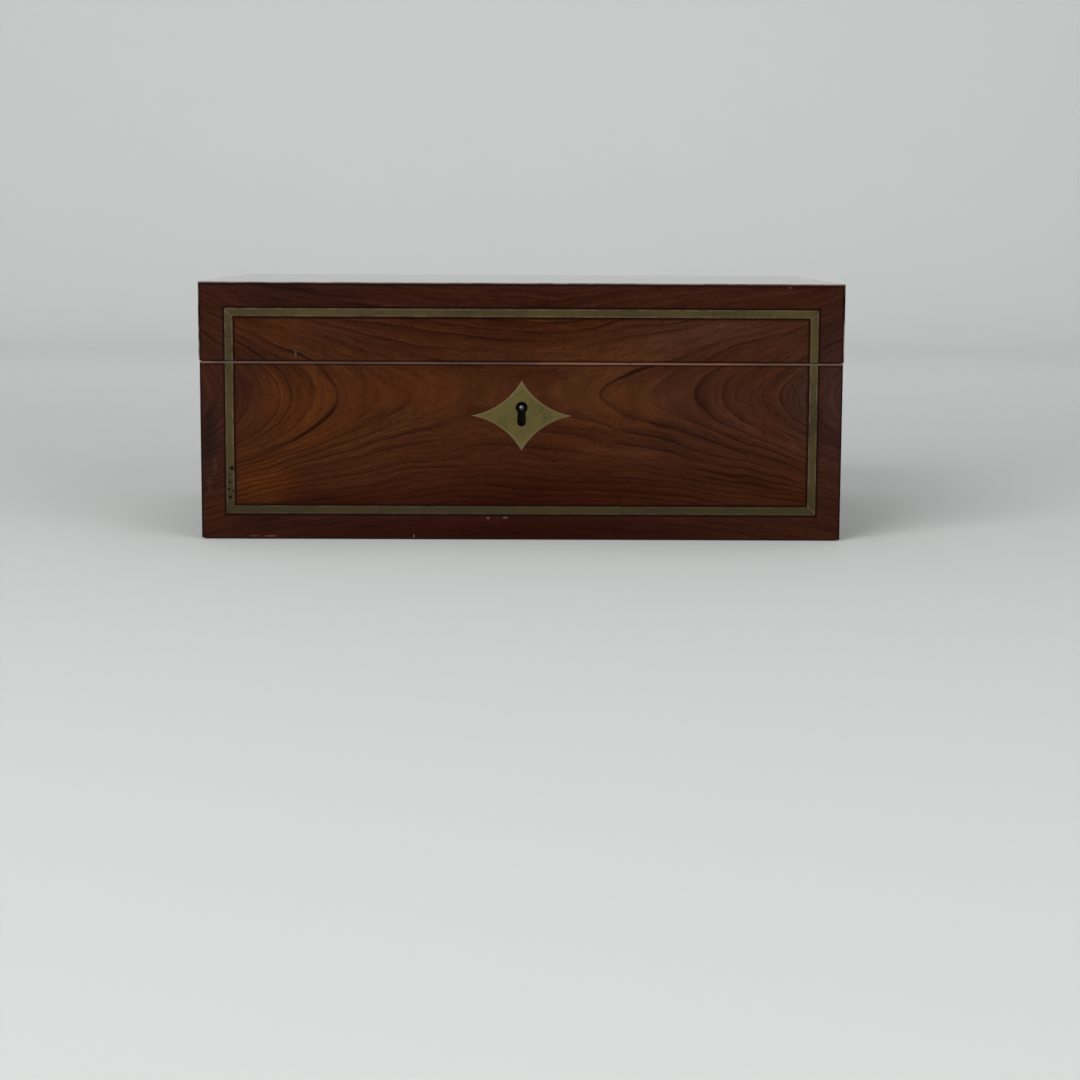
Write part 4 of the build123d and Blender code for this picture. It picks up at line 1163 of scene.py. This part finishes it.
@dataclass(frozen=True)
class Slab:
    """A pad or a glued cloth in a box: flat behind, crowned in front, its sides drawn in.

    Sizes are in millimetres. axis is the direction of its thickness, face is which way the
    crown looks, rim is the share of the thickness that is left at the edges, reach is how far
    in the crown rises, draw is how far the middle of a side is pulled in, uneven is the share
    by which the crown dips here and there, and notch is the half width and the foot of a gap
    open to the top.
    """

    low: Vector
    high: Vector
    axis: int = 2
    face: int = 1
    rim: float = 0.55
    reach: float = 9.0
    draw: float = 0.6
    uneven: float = 0.035
    notch: tuple[float, float] | None = None

    def mesh(self) -> bpy.types.Mesh:
        """Builds the closed form.

        Returns:
            The mesh in metres.
        """
        first, second = (axis for axis in range(3) if axis != self.axis)
        half, foot = self.notch or (0.0, 0.0)
        across = uneven_steps(self.low[first], self.high[first], (-half, half) if self.notch else ())
        upward = uneven_steps(self.low[second], self.high[second], (foot,) if self.notch else ())
        rows = len(upward)
        front = [self._point(p, q, first, second, True) for p in across for q in upward]
        back = [self._point(p, q, first, second, False) for p in across for q in upward]
        cells = []
        for i in range(len(across) - 1):
            for j in range(rows - 1):
                p, q = (across[i] + across[i + 1]) / 2, (upward[j] + upward[j + 1]) / 2
                if not (self.notch and abs(p) < half and q > foot):
                    corner = i * rows + j
                    cells.append((corner, corner + rows, corner + rows + 1, corner + 1))
        sides = {}
        for cell in cells:
            for a, b in zip(cell, cell[1:] + cell[:1]):
                sides[frozenset((a, b))] = None if frozenset((a, b)) in sides else (a, b)
        size = len(front)
        faces = cells + [tuple(size + i for i in reversed(cell)) for cell in cells]
        faces += [(a, a + size, b + size, b) for a, b in filter(None, sides.values())]
        return mesh_from([point * MM for point in front + back], faces, True)

    def _point(self, p: float, q: float, first: int, second: int, front: bool) -> Vector:
        """One point of the crowned face or of the flat back.

        Args:
            p: its place along the first side.
            q: its place along the second side.
            first: the first side's axis.
            second: the second side's axis.
            front: whether it lies on the crowned face.

        Returns:
            The point in millimetres.
        """
        edge = min(p - self.low[first], self.high[first] - p, q - self.low[second], self.high[second] - q)
        if self.notch:
            half, foot = self.notch
            edge = min(edge, math.hypot(max(abs(p) - half, 0.0), max(foot - q, 0.0)))
        middle = (self.low + self.high) / 2
        reach = (self.high - self.low) / 2
        u = (p - middle[first]) / reach[first]
        v = (q - middle[second]) / reach[second]
        point = Vector((0.0, 0.0, 0.0))
        point[first] = p - u * self.draw * (1.0 - v * v)
        point[second] = q - v * self.draw * (1.0 - u * u)
        crown = 1.0 - (1.0 - min(edge / self.reach, 1.0)) ** 2
        waves = math.sin(p * 0.19 + 1.7 * math.sin(q * 0.11)) * math.sin(q * 0.23 + 0.6)
        crown *= 1.0 - self.uneven * (1.0 + waves)
        thick = (self.high - self.low)[self.axis] * (self.rim + (1.0 - self.rim) * crown)
        behind = self.low if self.face > 0 else self.high
        point[self.axis] = behind[self.axis] + (self.face * thick if front else 0.0)
        return point


@dataclass(frozen=True)
class PaddedFrame:
    """Velvet drawn over a padded frame and folded at its mitres, in millimetres.

    high is the frame's highest corner, and the frame lies evenly about the middle of the case.
    profile goes round the section as the distance in from the outer edge and the distance
    down from the top. What lies below the rebate puffs out between the corners, tuck is the
    share of it that is lost at a mitre, and stations are the sections along one side.
    """

    high: Vector
    rebate: float = 3.0
    tuck: float = 0.40
    fold_sharpness: float = 90.0
    profile: tuple[tuple[float, float], ...] = (
        (0.0, 0.0), (22.0, 0.0), (22.0, 3.0), (26.0, 3.0), (26.0, 4.3), (25.5, 5.0), (24.2, 5.5),
        (21.0, 5.85), (13.0, 6.0), (5.0, 5.85), (2.0, 5.5), (0.6, 4.9), (0.0, 4.0),
    )
    stations: tuple[float, ...] = (0.0, 0.012, 0.03, 0.07, 0.15, 0.3, 0.5, 0.7, 0.85, 0.93, 0.97, 0.988)

    def mesh(self) -> bpy.types.Mesh:
        """Builds the frame.

        Returns:
            The mesh in metres.
        """
        sides = ((True, -1.0, 1.0), (False, 1.0, 1.0), (True, 1.0, -1.0), (False, -1.0, -1.0))
        points = []
        for along_x, sign, forward in sides:
            for station in self.stations:
                run = forward * (2.0 * station - 1.0)
                fold = math.exp(-min(station, 1.0 - station) * self.fold_sharpness) * self.tuck
                for inward, down in self.profile:
                    half_x, half_y = self.high.x - inward, self.high.y - inward
                    x, y = (run * half_x, sign * half_y) if along_x else (sign * half_x, run * half_y)
                    folded = down - max(down - self.rebate, 0.0) * fold
                    points.append(Vector((x, y, self.high.z - folded)) * MM)
        ring, count = len(self.profile), len(self.stations) * len(sides)
        faces = []
        for i in range(count):
            ahead = (i + 1) % count
            for j in range(ring):
                k = (j + 1) % ring
                faces.append((i * ring + j, ahead * ring + j, ahead * ring + k, i * ring + k))
        return mesh_from(points, faces, True)


@dataclass(frozen=True)
class SlottedScrew:
    """A countersunk slotted screw, in millimetres.

    sink is how deep the head goes, taper is what is left of the shank where the point starts,
    and tip is the radius of the point's end. The first slot is turned by first_turn, and each
    later one by next_turn more, in radians.
    """

    slot_half: float = 0.3
    slot_depth: float = 0.4
    sink: float = 1.4
    shank: float = 1.0
    taper: float = 0.95
    point: float = 1.6
    tip: float = 0.2
    steps: int = 14
    first_turn: float = 0.5
    next_turn: float = 2.4

    def outline(self, radius: float) -> list[tuple[float, float]]:
        """The head's outline, with a point at each end of the slot.

        Args:
            radius: the head's radius.

        Returns:
            Its points, along the slot and across it.
        """
        start = math.asin(self.slot_half / radius)
        half = [start + (math.pi - 2 * start) * i / self.steps for i in range(self.steps + 1)]
        angles = half + [math.pi] + [math.pi + angle for angle in half] + [2 * math.pi]
        return [(radius * math.cos(angle), radius * math.sin(angle)) for angle in angles]

    def form(self, radius: float, length: float) -> tuple[list[Vector], list[tuple[int, ...]]]:
        """The screw with its head at the origin and its point down.

        Args:
            radius: the head's radius.
            length: from the head's face to the point.

        Returns:
            Its points and faces.
        """
        head = self.outline(radius)
        count, steps = len(head), self.steps
        tops = list(range(steps + 1)) + list(range(steps + 2, 2 * steps + 3))
        points = [Vector((*head[i], 0.0)) for i in tops]
        rise = {place: number for number, place in enumerate(tops)}
        end = self.shank * self.taper
        levels = ((radius, self.slot_depth), (self.shank, self.sink), (end, length - self.point),
                  (self.tip, length))
        start = len(points)
        for wide, down in levels:
            points += [Vector((u * wide / radius, v * wide / radius, -down)) for u, v in head]
        faces = [tuple(range(steps + 1)), tuple(range(steps + 1, 2 * steps + 2))]
        low = [start + i for i in range(count)]
        floor = (0, steps, steps + 1, steps + 2, 2 * steps + 2, 2 * steps + 3)
        faces.append(tuple(low[i] for i in floor))
        for i, j in zip(tops, tops[1:] + tops[:1]):
            if abs(i - j) == 1:
                faces.append((rise[i], rise[j], low[j], low[i]))
        faces.append((rise[steps], rise[0], low[0], low[steps]))
        faces.append((rise[2 * steps + 2], rise[steps + 2], low[steps + 2], low[2 * steps + 2]))
        for level in range(len(levels) - 1):
            for i in range(count):
                here, there = start + level * count + i, start + level * count + (i + 1) % count
                faces.append((here, there, there + count, here + count))
        last = start + (len(levels) - 1) * count
        faces.append(tuple(range(last + count - 1, last - 1, -1)))
        return points, faces

    def mesh(self, node: str, from_top: bool) -> bpy.types.Mesh:
        """Builds every screw of a CAD node in its place.

        Args:
            node: the CAD node that the screws stand for.
            from_top: whether the heads are at the high ends of their boxes.

        Returns:
            The mesh in metres.
        """
        points, faces = [], []
        for number, (low, high) in enumerate(solid_boxes(node)):
            size = high - low
            axis = max(range(3), key=lambda i: size[i])
            radius = max(size[i] for i in range(3) if i != axis) / 2
            way = Vector((0.0, 0.0, 0.0))
            way[axis] = 1.0 if from_top else -1.0
            seat = (low + high) / 2
            seat[axis] = high[axis] if from_top else low[axis]
            spin = Matrix.Rotation(self.first_turn + self.next_turn * number, 3, "Z")
            turn = way.to_track_quat("Z", "Y").to_matrix() @ spin
            made, sides = self.form(radius, size[axis])
            faces += [tuple(len(points) + i for i in side) for side in sides]
            points += [(seat + turn @ point) * MM for point in made]
        return mesh_from(points, faces, False)


@dataclass(frozen=True)
class Lamp:
    """A square soft lamp, with its side in metres and its power in watts."""

    name: str
    place: tuple[float, float, float]
    size: float
    watts: float


@dataclass
class Studio:
    """Floor, backdrop, lamps and camera, in metres, millimetres of lens, and degrees."""

    floor_tone: Colour = (0.62, 0.635, 0.62)
    wall_tone: Colour = (0.80, 0.810, 0.795)
    wall_glow: Colour = (0.020, 0.020, 0.020)
    grain_tone: Colour = (0.5, 0.5, 0.5)
    depth: float = 1.6
    reach: float = 6.0
    bend: float = 0.5
    bend_steps: int = 16
    lamps: tuple[Lamp, ...] = (
        Lamp("key_lamp", (-1.1, -1.7, 1.1), 1.3, 34.0),
        Lamp("fill_lamp", (1.3, -1.7, 0.9), 1.4, 18.0),
        Lamp("top_lamp", (0.0, 0.3, 2.2), 1.8, 9.0),
    )
    aim: tuple[float, float, float] = (0.0, 0.0, 0.06)
    air: tuple[float, float, float, float] = (0.95, 0.98, 1.0, 1.0)
    air_strength: float = 0.30
    focal: float = 76.67
    sensor: float = 36.0
    eye: tuple[float, float, float] = (-0.0015, -1.0974, 0.1323)
    pitch: float = 7.54
    yaw: float = -0.56
    roll: float = 0.28

    def build(self) -> None:
        """Builds the whole studio."""
        self.lay_sweep()
        for lamp in self.lamps:
            self.hang(lamp)
        self.fill_air()
        self.stand_camera()
        bpy.context.scene.view_settings.view_transform = "Standard"

    def lay_sweep(self) -> None:
        """Builds the floor that bends up into the backdrop."""
        profile = [(-self.reach, 0.0), (self.depth, 0.0)]
        for step in range(1, self.bend_steps + 1):
            angle = math.radians(90.0 * step / self.bend_steps)
            profile.append((self.depth + self.bend * math.sin(angle), self.bend * (1 - math.cos(angle))))
        profile.append((self.depth + self.bend, self.reach))
        points = [Vector((x, y, z)) for x in (-self.reach, self.reach) for y, z in profile]
        count = len(profile)
        faces = [(i, i + 1, count + i + 1, count + i) for i in range(count - 1)]
        floor = add_object("studio_floor", mesh_from(points, faces, True))
        floor.data.materials.append(self.paper())

    def paper(self) -> bpy.types.Material:
        """Builds the pale paper of the floor and the backdrop, which glows faintly behind.

        Returns:
            The finished material.
        """
        g = Graph("studio_paper")
        grain = g.noise(g.place, 3.0, 2.0)
        behind = g.rise(g.y, 200.0, 1300.0)
        tone = g.mix(behind, self.floor_tone, self.wall_tone)
        rays = ("Camera", "Glossy", "Transmission")
        camera, glossy, through = (g.node("ShaderNodeLightPath", output=f"Is {ray} Ray") for ray in rays)
        glow = g.mix(g.most(camera, g.most(glossy, through)) * behind, (0.0, 0.0, 0.0), self.wall_glow)
        g.set(Emission_Color=glow, Emission_Strength=1.0)
        g.set(Base_Color=g.mix(grain * 0.04, tone, self.grain_tone), Roughness=0.9)
        g.set(Specular_IOR_Level=0.1)
        return g.material

    def hang(self, lamp: Lamp) -> None:
        """Hangs one lamp, facing the case.

        Args:
            lamp: the lamp.
        """
        light = bpy.data.lights.new(lamp.name, "AREA")
        light.shape = "SQUARE"
        light.size = lamp.size
        light.energy = lamp.watts
        hung = add_object(lamp.name, light)
        hung.location = lamp.place
        towards = Vector(self.aim) - Vector(lamp.place)
        hung.rotation_euler = towards.to_track_quat("-Z", "Y").to_euler()

    def fill_air(self) -> None:
        """Fills the shadows with an even grey."""
        world = bpy.data.worlds.new("studio_air")
        world.use_nodes = True
        air = world.node_tree.nodes["Background"].inputs
        air["Color"].default_value = self.air
        air["Strength"].default_value = self.air_strength
        bpy.context.scene.world = world

    def stand_camera(self) -> None:
        """Stands the camera where the photograph was taken from."""
        data = bpy.data.cameras.new("camera")
        data.lens = self.focal
        data.sensor_width = self.sensor
        camera = add_object("camera", data)
        yaw, pitch, roll = (math.radians(angle) for angle in (self.yaw, self.pitch, self.roll))
        level = Vector((-math.sin(yaw), math.cos(yaw), 0.0))
        ahead = level * math.cos(pitch) - Vector((0.0, 0.0, math.sin(pitch)))
        right = Vector((math.cos(yaw), math.sin(yaw), 0.0))
        up = right.cross(ahead)
        image_x = right * math.cos(roll) + up * math.sin(roll)
        image_y = up * math.cos(roll) - right * math.sin(roll)
        turn = Matrix((image_x, image_y, -ahead)).transposed().to_4x4()
        camera.matrix_world = Matrix.Translation(self.eye) @ turn
        bpy.context.scene.camera = camera


FRONT_FIELD = Veneer(
    "front_field", Sheet.FRONT, FIELD_TONES, coat=0.06, patches=FRONT_PATCHES, glue_and_shade=1.7,
)
FRONT_BAND = Veneer(
    "front_band", Sheet.FRONT, BAND_TONES, coat=0.06, patches=BAND_PATCHES, glue_and_shade=1.4, contrast=0.55,
)
TOP_FIELD = Veneer(
    "top_field", Sheet.TOP, FIELD_TONES, coat=1.0, base_gloss=0.1, figure=TOP_FIGURE, coat_ior=1.3,
)
TOP_BAND = Veneer(
    "top_band", Sheet.TOP, BAND_TONES, coat=1.0, base_gloss=0.1, figure=TOP_FIGURE, contrast=0.55,
    coat_ior=1.3,
)
END_SHEET = Veneer(
    "end_sheet", Sheet.END, FIELD_TONES, coat=0.25, base_gloss=0.15, figure=END_FIGURE,
)
BACK_SHEET = Veneer(
    "back_sheet", Sheet.BACK, BAND_TONES, coat=0.15, base_gloss=0.15, figure=BACK_FIGURE,
)
BASE_LINE = TarnishedBrass("base_line_brass", pits=PITS, joints=(44.0, -61.0))
LID_LINE = TarnishedBrass("lid_line_brass", joints=(1.7, 83.0))
TOP_LINE = TarnishedBrass("top_line_brass", Sheet.TOP, joints=(-20.0,), coat=1.0)
INSIDE_WOOD = PlainWood("inside_wood", (0.060, 0.018, 0.008), (0.120, 0.040, 0.016), gloss=0.5)
CARCASS_WOOD = PlainWood("carcass_wood", (0.150, 0.070, 0.030), (0.240, 0.125, 0.060), gloss=0.05)
# Painted shade: near-black wood for the front wall, seen only inside the keyhole.
KEYHOLE_SHADE_WOOD = PlainWood("keyhole_shade_wood", (0.004, 0.003, 0.002), (0.010, 0.006, 0.004), gloss=0.0)
WORKED_BRASS = Metal("worked_brass", (0.46, 0.33, 0.13), (0.16, 0.11, 0.05), rough=0.26)
# The lock takes the painted shade that shows through the keyhole.
LOCK_BRASS = replace(WORKED_BRASS, name="lock_brass", darkened=True)
BLUED_STEEL = Metal("blued_steel", (0.085, 0.085, 0.095), (0.040, 0.036, 0.034), rough=0.30)
BRIGHT_STEEL = Metal("bright_steel", (0.60, 0.61, 0.62), (0.30, 0.29, 0.28), rough=0.20)
SILVER_PLATE = Metal(
    "silver_plate", (0.82, 0.80, 0.76), (0.36, 0.31, 0.24), rough=0.14, grain=0.05, wear=0.25,
)
MIDNIGHT_VELVET = Pile(
    "midnight_velvet", (0.0050, 0.0065, 0.0190), (0.0240, 0.0300, 0.0640), sheen=0.35,
)
FLOOR_CLOTH = Pile("lining_cloth", (0.0050, 0.0060, 0.0160), (0.0170, 0.0210, 0.0450), sheen=0.2)
GREEN_BAIZE = Pile(
    "baize", (0.004, 0.022, 0.011), (0.012, 0.050, 0.026), sheen=0.3, weave=1500.0, crushed=0.25,
)
CLEAR_GLASS = Glass("clear_glass", (0.93, 0.97, 0.96))


@dataclass
class BaseCarcass:
    """The lower box: its boards, veneers, brass line, linings and baize, in millimetres.

    lock_notch is the half width and the foot of the gap that the front lining leaves for the lock.
    """

    finishes: Finishes
    edge: float = 0.25
    inlay_edge: float = 0.08
    floor_cloth: float = 0.8
    wall_lining: float = 0.5
    lock_notch: tuple[float, float] = (29.0, 43.7)

    def dress(self) -> None:
        """Dresses every piece of the lower box."""
        dress = self.finishes.dress
        dress(FRONT_FIELD, self.inlay_edge, "base_front_veneer")
        dress(FRONT_BAND, 0.0, "base_front_banding")
        dress(END_SHEET, self.edge, "base_side_veneers")
        dress(BACK_SHEET, self.edge, "base_back_veneer")
        dress(RimFacing(), 0.0, "base_rim_facing")
        dress(BASE_LINE, 0.0, "base_stringing")
        dress(Escutcheon(), self.inlay_edge, "keyhole_escutcheon")
        dress(CARCASS_WOOD, 0.0, "base_back_wall", "base_left_wall", "base_right_wall")
        # The front wall shows only inside the keyhole, so it takes the near-black painted keyhole shade.
        dress(KEYHOLE_SHADE_WOOD, 0.0, "base_front_wall")
        dress(CARCASS_WOOD, self.edge, "base_bottom_board")
        dress(INSIDE_WOOD, self.edge, "row_divider", "cell_partitions", "tray_ledges")
        self.line_inside()
        self.glue_baize()

    def line_inside(self) -> None:
        """Lays the floor cloth and lines the walls above it."""
        low, high = mm_box("base_lining")
        laid, thin = low.z + self.floor_cloth, self.wall_lining
        cloths = {
            "floor_cloth": (low, (high.x, high.y, laid), 2, 1),
            "front_lining": ((low.x + thin, low.y, laid), (high.x - thin, low.y + thin, high.z), 1, 1),
            "back_lining": ((low.x + thin, high.y - thin, laid), (high.x - thin, high.y, high.z), 1, -1),
            "left_lining": ((low.x, low.y, laid), (low.x + thin, high.y, high.z), 0, 1),
            "right_lining": ((high.x - thin, low.y, laid), high, 0, -1),
        }
        for name, (start, end, axis, face) in cloths.items():
            notch = self.lock_notch if name == "front_lining" else None
            form = Slab(Vector(start), Vector(end), axis, face, rim=0.6, reach=1.5, draw=0.0, notch=notch)
            piece = self.finishes.add(name, form.mesh(), FLOOR_CLOTH, "case", "lining_velvet")
            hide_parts("base_lining")
            sides = [side * MM for i, side in enumerate(form.high - form.low) if i != axis]
            gap = 2 * notch[0] * (high.z - notch[1]) * MM * MM if notch else 0.0
            held = "laid" if axis == 2 else "stretched"
            rests = "base_bottom_board" if axis == 2 else f"base_{name.split('_')[0]}_wall"
            sides[0] * sides[1] - gap

    def glue_baize(self) -> None:
        """Glues the baize under the bottom board."""
        low, high = mm_box("baize_underside")
        form = Slab(low, high, face=-1, rim=0.7, reach=1.2, draw=0.0)
        piece = self.finishes.add("baize_cloth", form.mesh(), GREEN_BAIZE, "case", "baize")
        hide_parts("baize_underside")


@dataclass
class Lid:
    """The lid: its boards, veneers and brass lines, and the mirror inside it."""

    finishes: Finishes
    edge: float = 0.3
    inlay_edge: float = 0.08

    def dress(self) -> None:
        """Dresses every piece of the lid."""
        dress = self.finishes.dress
        dress(FRONT_FIELD, self.inlay_edge, "lid_front_veneer")
        dress(FRONT_BAND, 0.0, "lid_front_banding")
        dress(TOP_FIELD, self.inlay_edge, "lid_top_veneer")
        dress(TOP_BAND, self.edge, "lid_top_banding", mitred=True)
        dress(END_SHEET, self.inlay_edge, "lid_side_veneers")
        dress(BACK_SHEET, self.inlay_edge, "lid_back_veneer")
        dress(RimFacing(), 0.0, "lid_rim_facing")
        dress(LID_LINE, 0.0, "lid_front_stringing")
        dress(TOP_LINE, 0.0, "lid_top_stringing")
        dress(CARCASS_WOOD, 0.0, "lid_front_wall", "lid_back_wall", "lid_left_wall", "lid_right_wall")
        dress(CARCASS_WOOD, 0.0, "lid_top_board", "mirror_backing")
        dress(LookingGlass(), 0.0, "mirror_glass")
        self.pad_frame()

    def pad_frame(self) -> None:
        """Covers the mirror's frame in padded velvet."""
        _, high = mm_box("mirror_frame")
        mesh = PaddedFrame(high).mesh()
        piece = self.finishes.add("padded_frame", mesh, MIDNIGHT_VELVET, "lid", "frame_velvet")
        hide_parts("mirror_frame")


@dataclass
class Metalwork:
    """The box lock, the link plate, the hinges and their screws."""

    finishes: Finishes
    edge: float = 0.12
    screw_edge: float = 0.06

    def dress(self) -> None:
        """Dresses every metal fitting."""
        dress = self.finishes.dress
        dress(LOCK_BRASS, self.edge, "lock_plate", "lock_cap")
        dress(WORKED_BRASS, self.edge, "link_plate", "hinge_base_leaves", "hinge_lid_leaves")
        dress(BLUED_STEEL, self.edge, "lock_bolt", "lock_spring")
        dress(PinEnd(), 0.0, "lock_drill_pin")
        dress(BRIGHT_STEEL, 0.0, "hinge_pins")
        self.drive_screws()

    def drive_screws(self) -> None:
        """Sets a slotted screw in each screw's place."""
        for node, body in (("base_screws", "case"), ("lid_screws", "lid")):
            name = node.replace("screws", "slotted_screws")
            mesh = SlottedScrew().mesh(node, body == "case")
            piece = self.finishes.add(name, mesh, WORKED_BRASS, body, "worked_brass")
            soften_edges(piece, self.screw_edge, 1)
            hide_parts(node)


@dataclass
class Tray:
    """The lift-out tray and its pads."""

    finishes: Finishes
    edge: float = 0.3

    def dress(self) -> None:
        """Dresses the tray."""
        walls = ("tray_long_walls", "tray_end_walls", "tray_partitions")
        self.finishes.dress(INSIDE_WOOD, self.edge, "tray_floor", *walls)
        self.pad_bays()

    def pad_bays(self) -> None:
        """Lays a velvet pad in each bay."""
        for number, (low, high) in enumerate(solid_boxes("tray_lining"), 1):
            name = f"tray_pad_{number}"
            mesh = Slab(low, high).mesh()
            piece = self.finishes.add(name, mesh, MIDNIGHT_VELVET, "tray", "lining_velvet")
            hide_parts("tray_lining")


@dataclass
class Jars:
    """The four glass jars and their plated caps."""

    finishes: Finishes
    count: int = 4
    edge: float = 0.35

    def dress(self) -> None:
        """Dresses the jars."""
        for number in range(1, self.count + 1):
            self.finishes.dress(CLEAR_GLASS, self.edge, f"jar_{number}_glass")
            self.finishes.dress(SILVER_PLATE, self.edge, f"jar_{number}_cap")


def main() -> None:
    """Builds the studio and dresses the case, piece by piece."""
    logging.basicConfig(level=logging.INFO, format="%(name)s: %(message)s")
    finishes = Finishes()
    Studio().build()
    for part in (BaseCarcass(finishes), Lid(finishes), Metalwork(finishes), Tray(finishes), Jars(finishes)):
        part.dress()


if __name__ == "__main__":
    main()
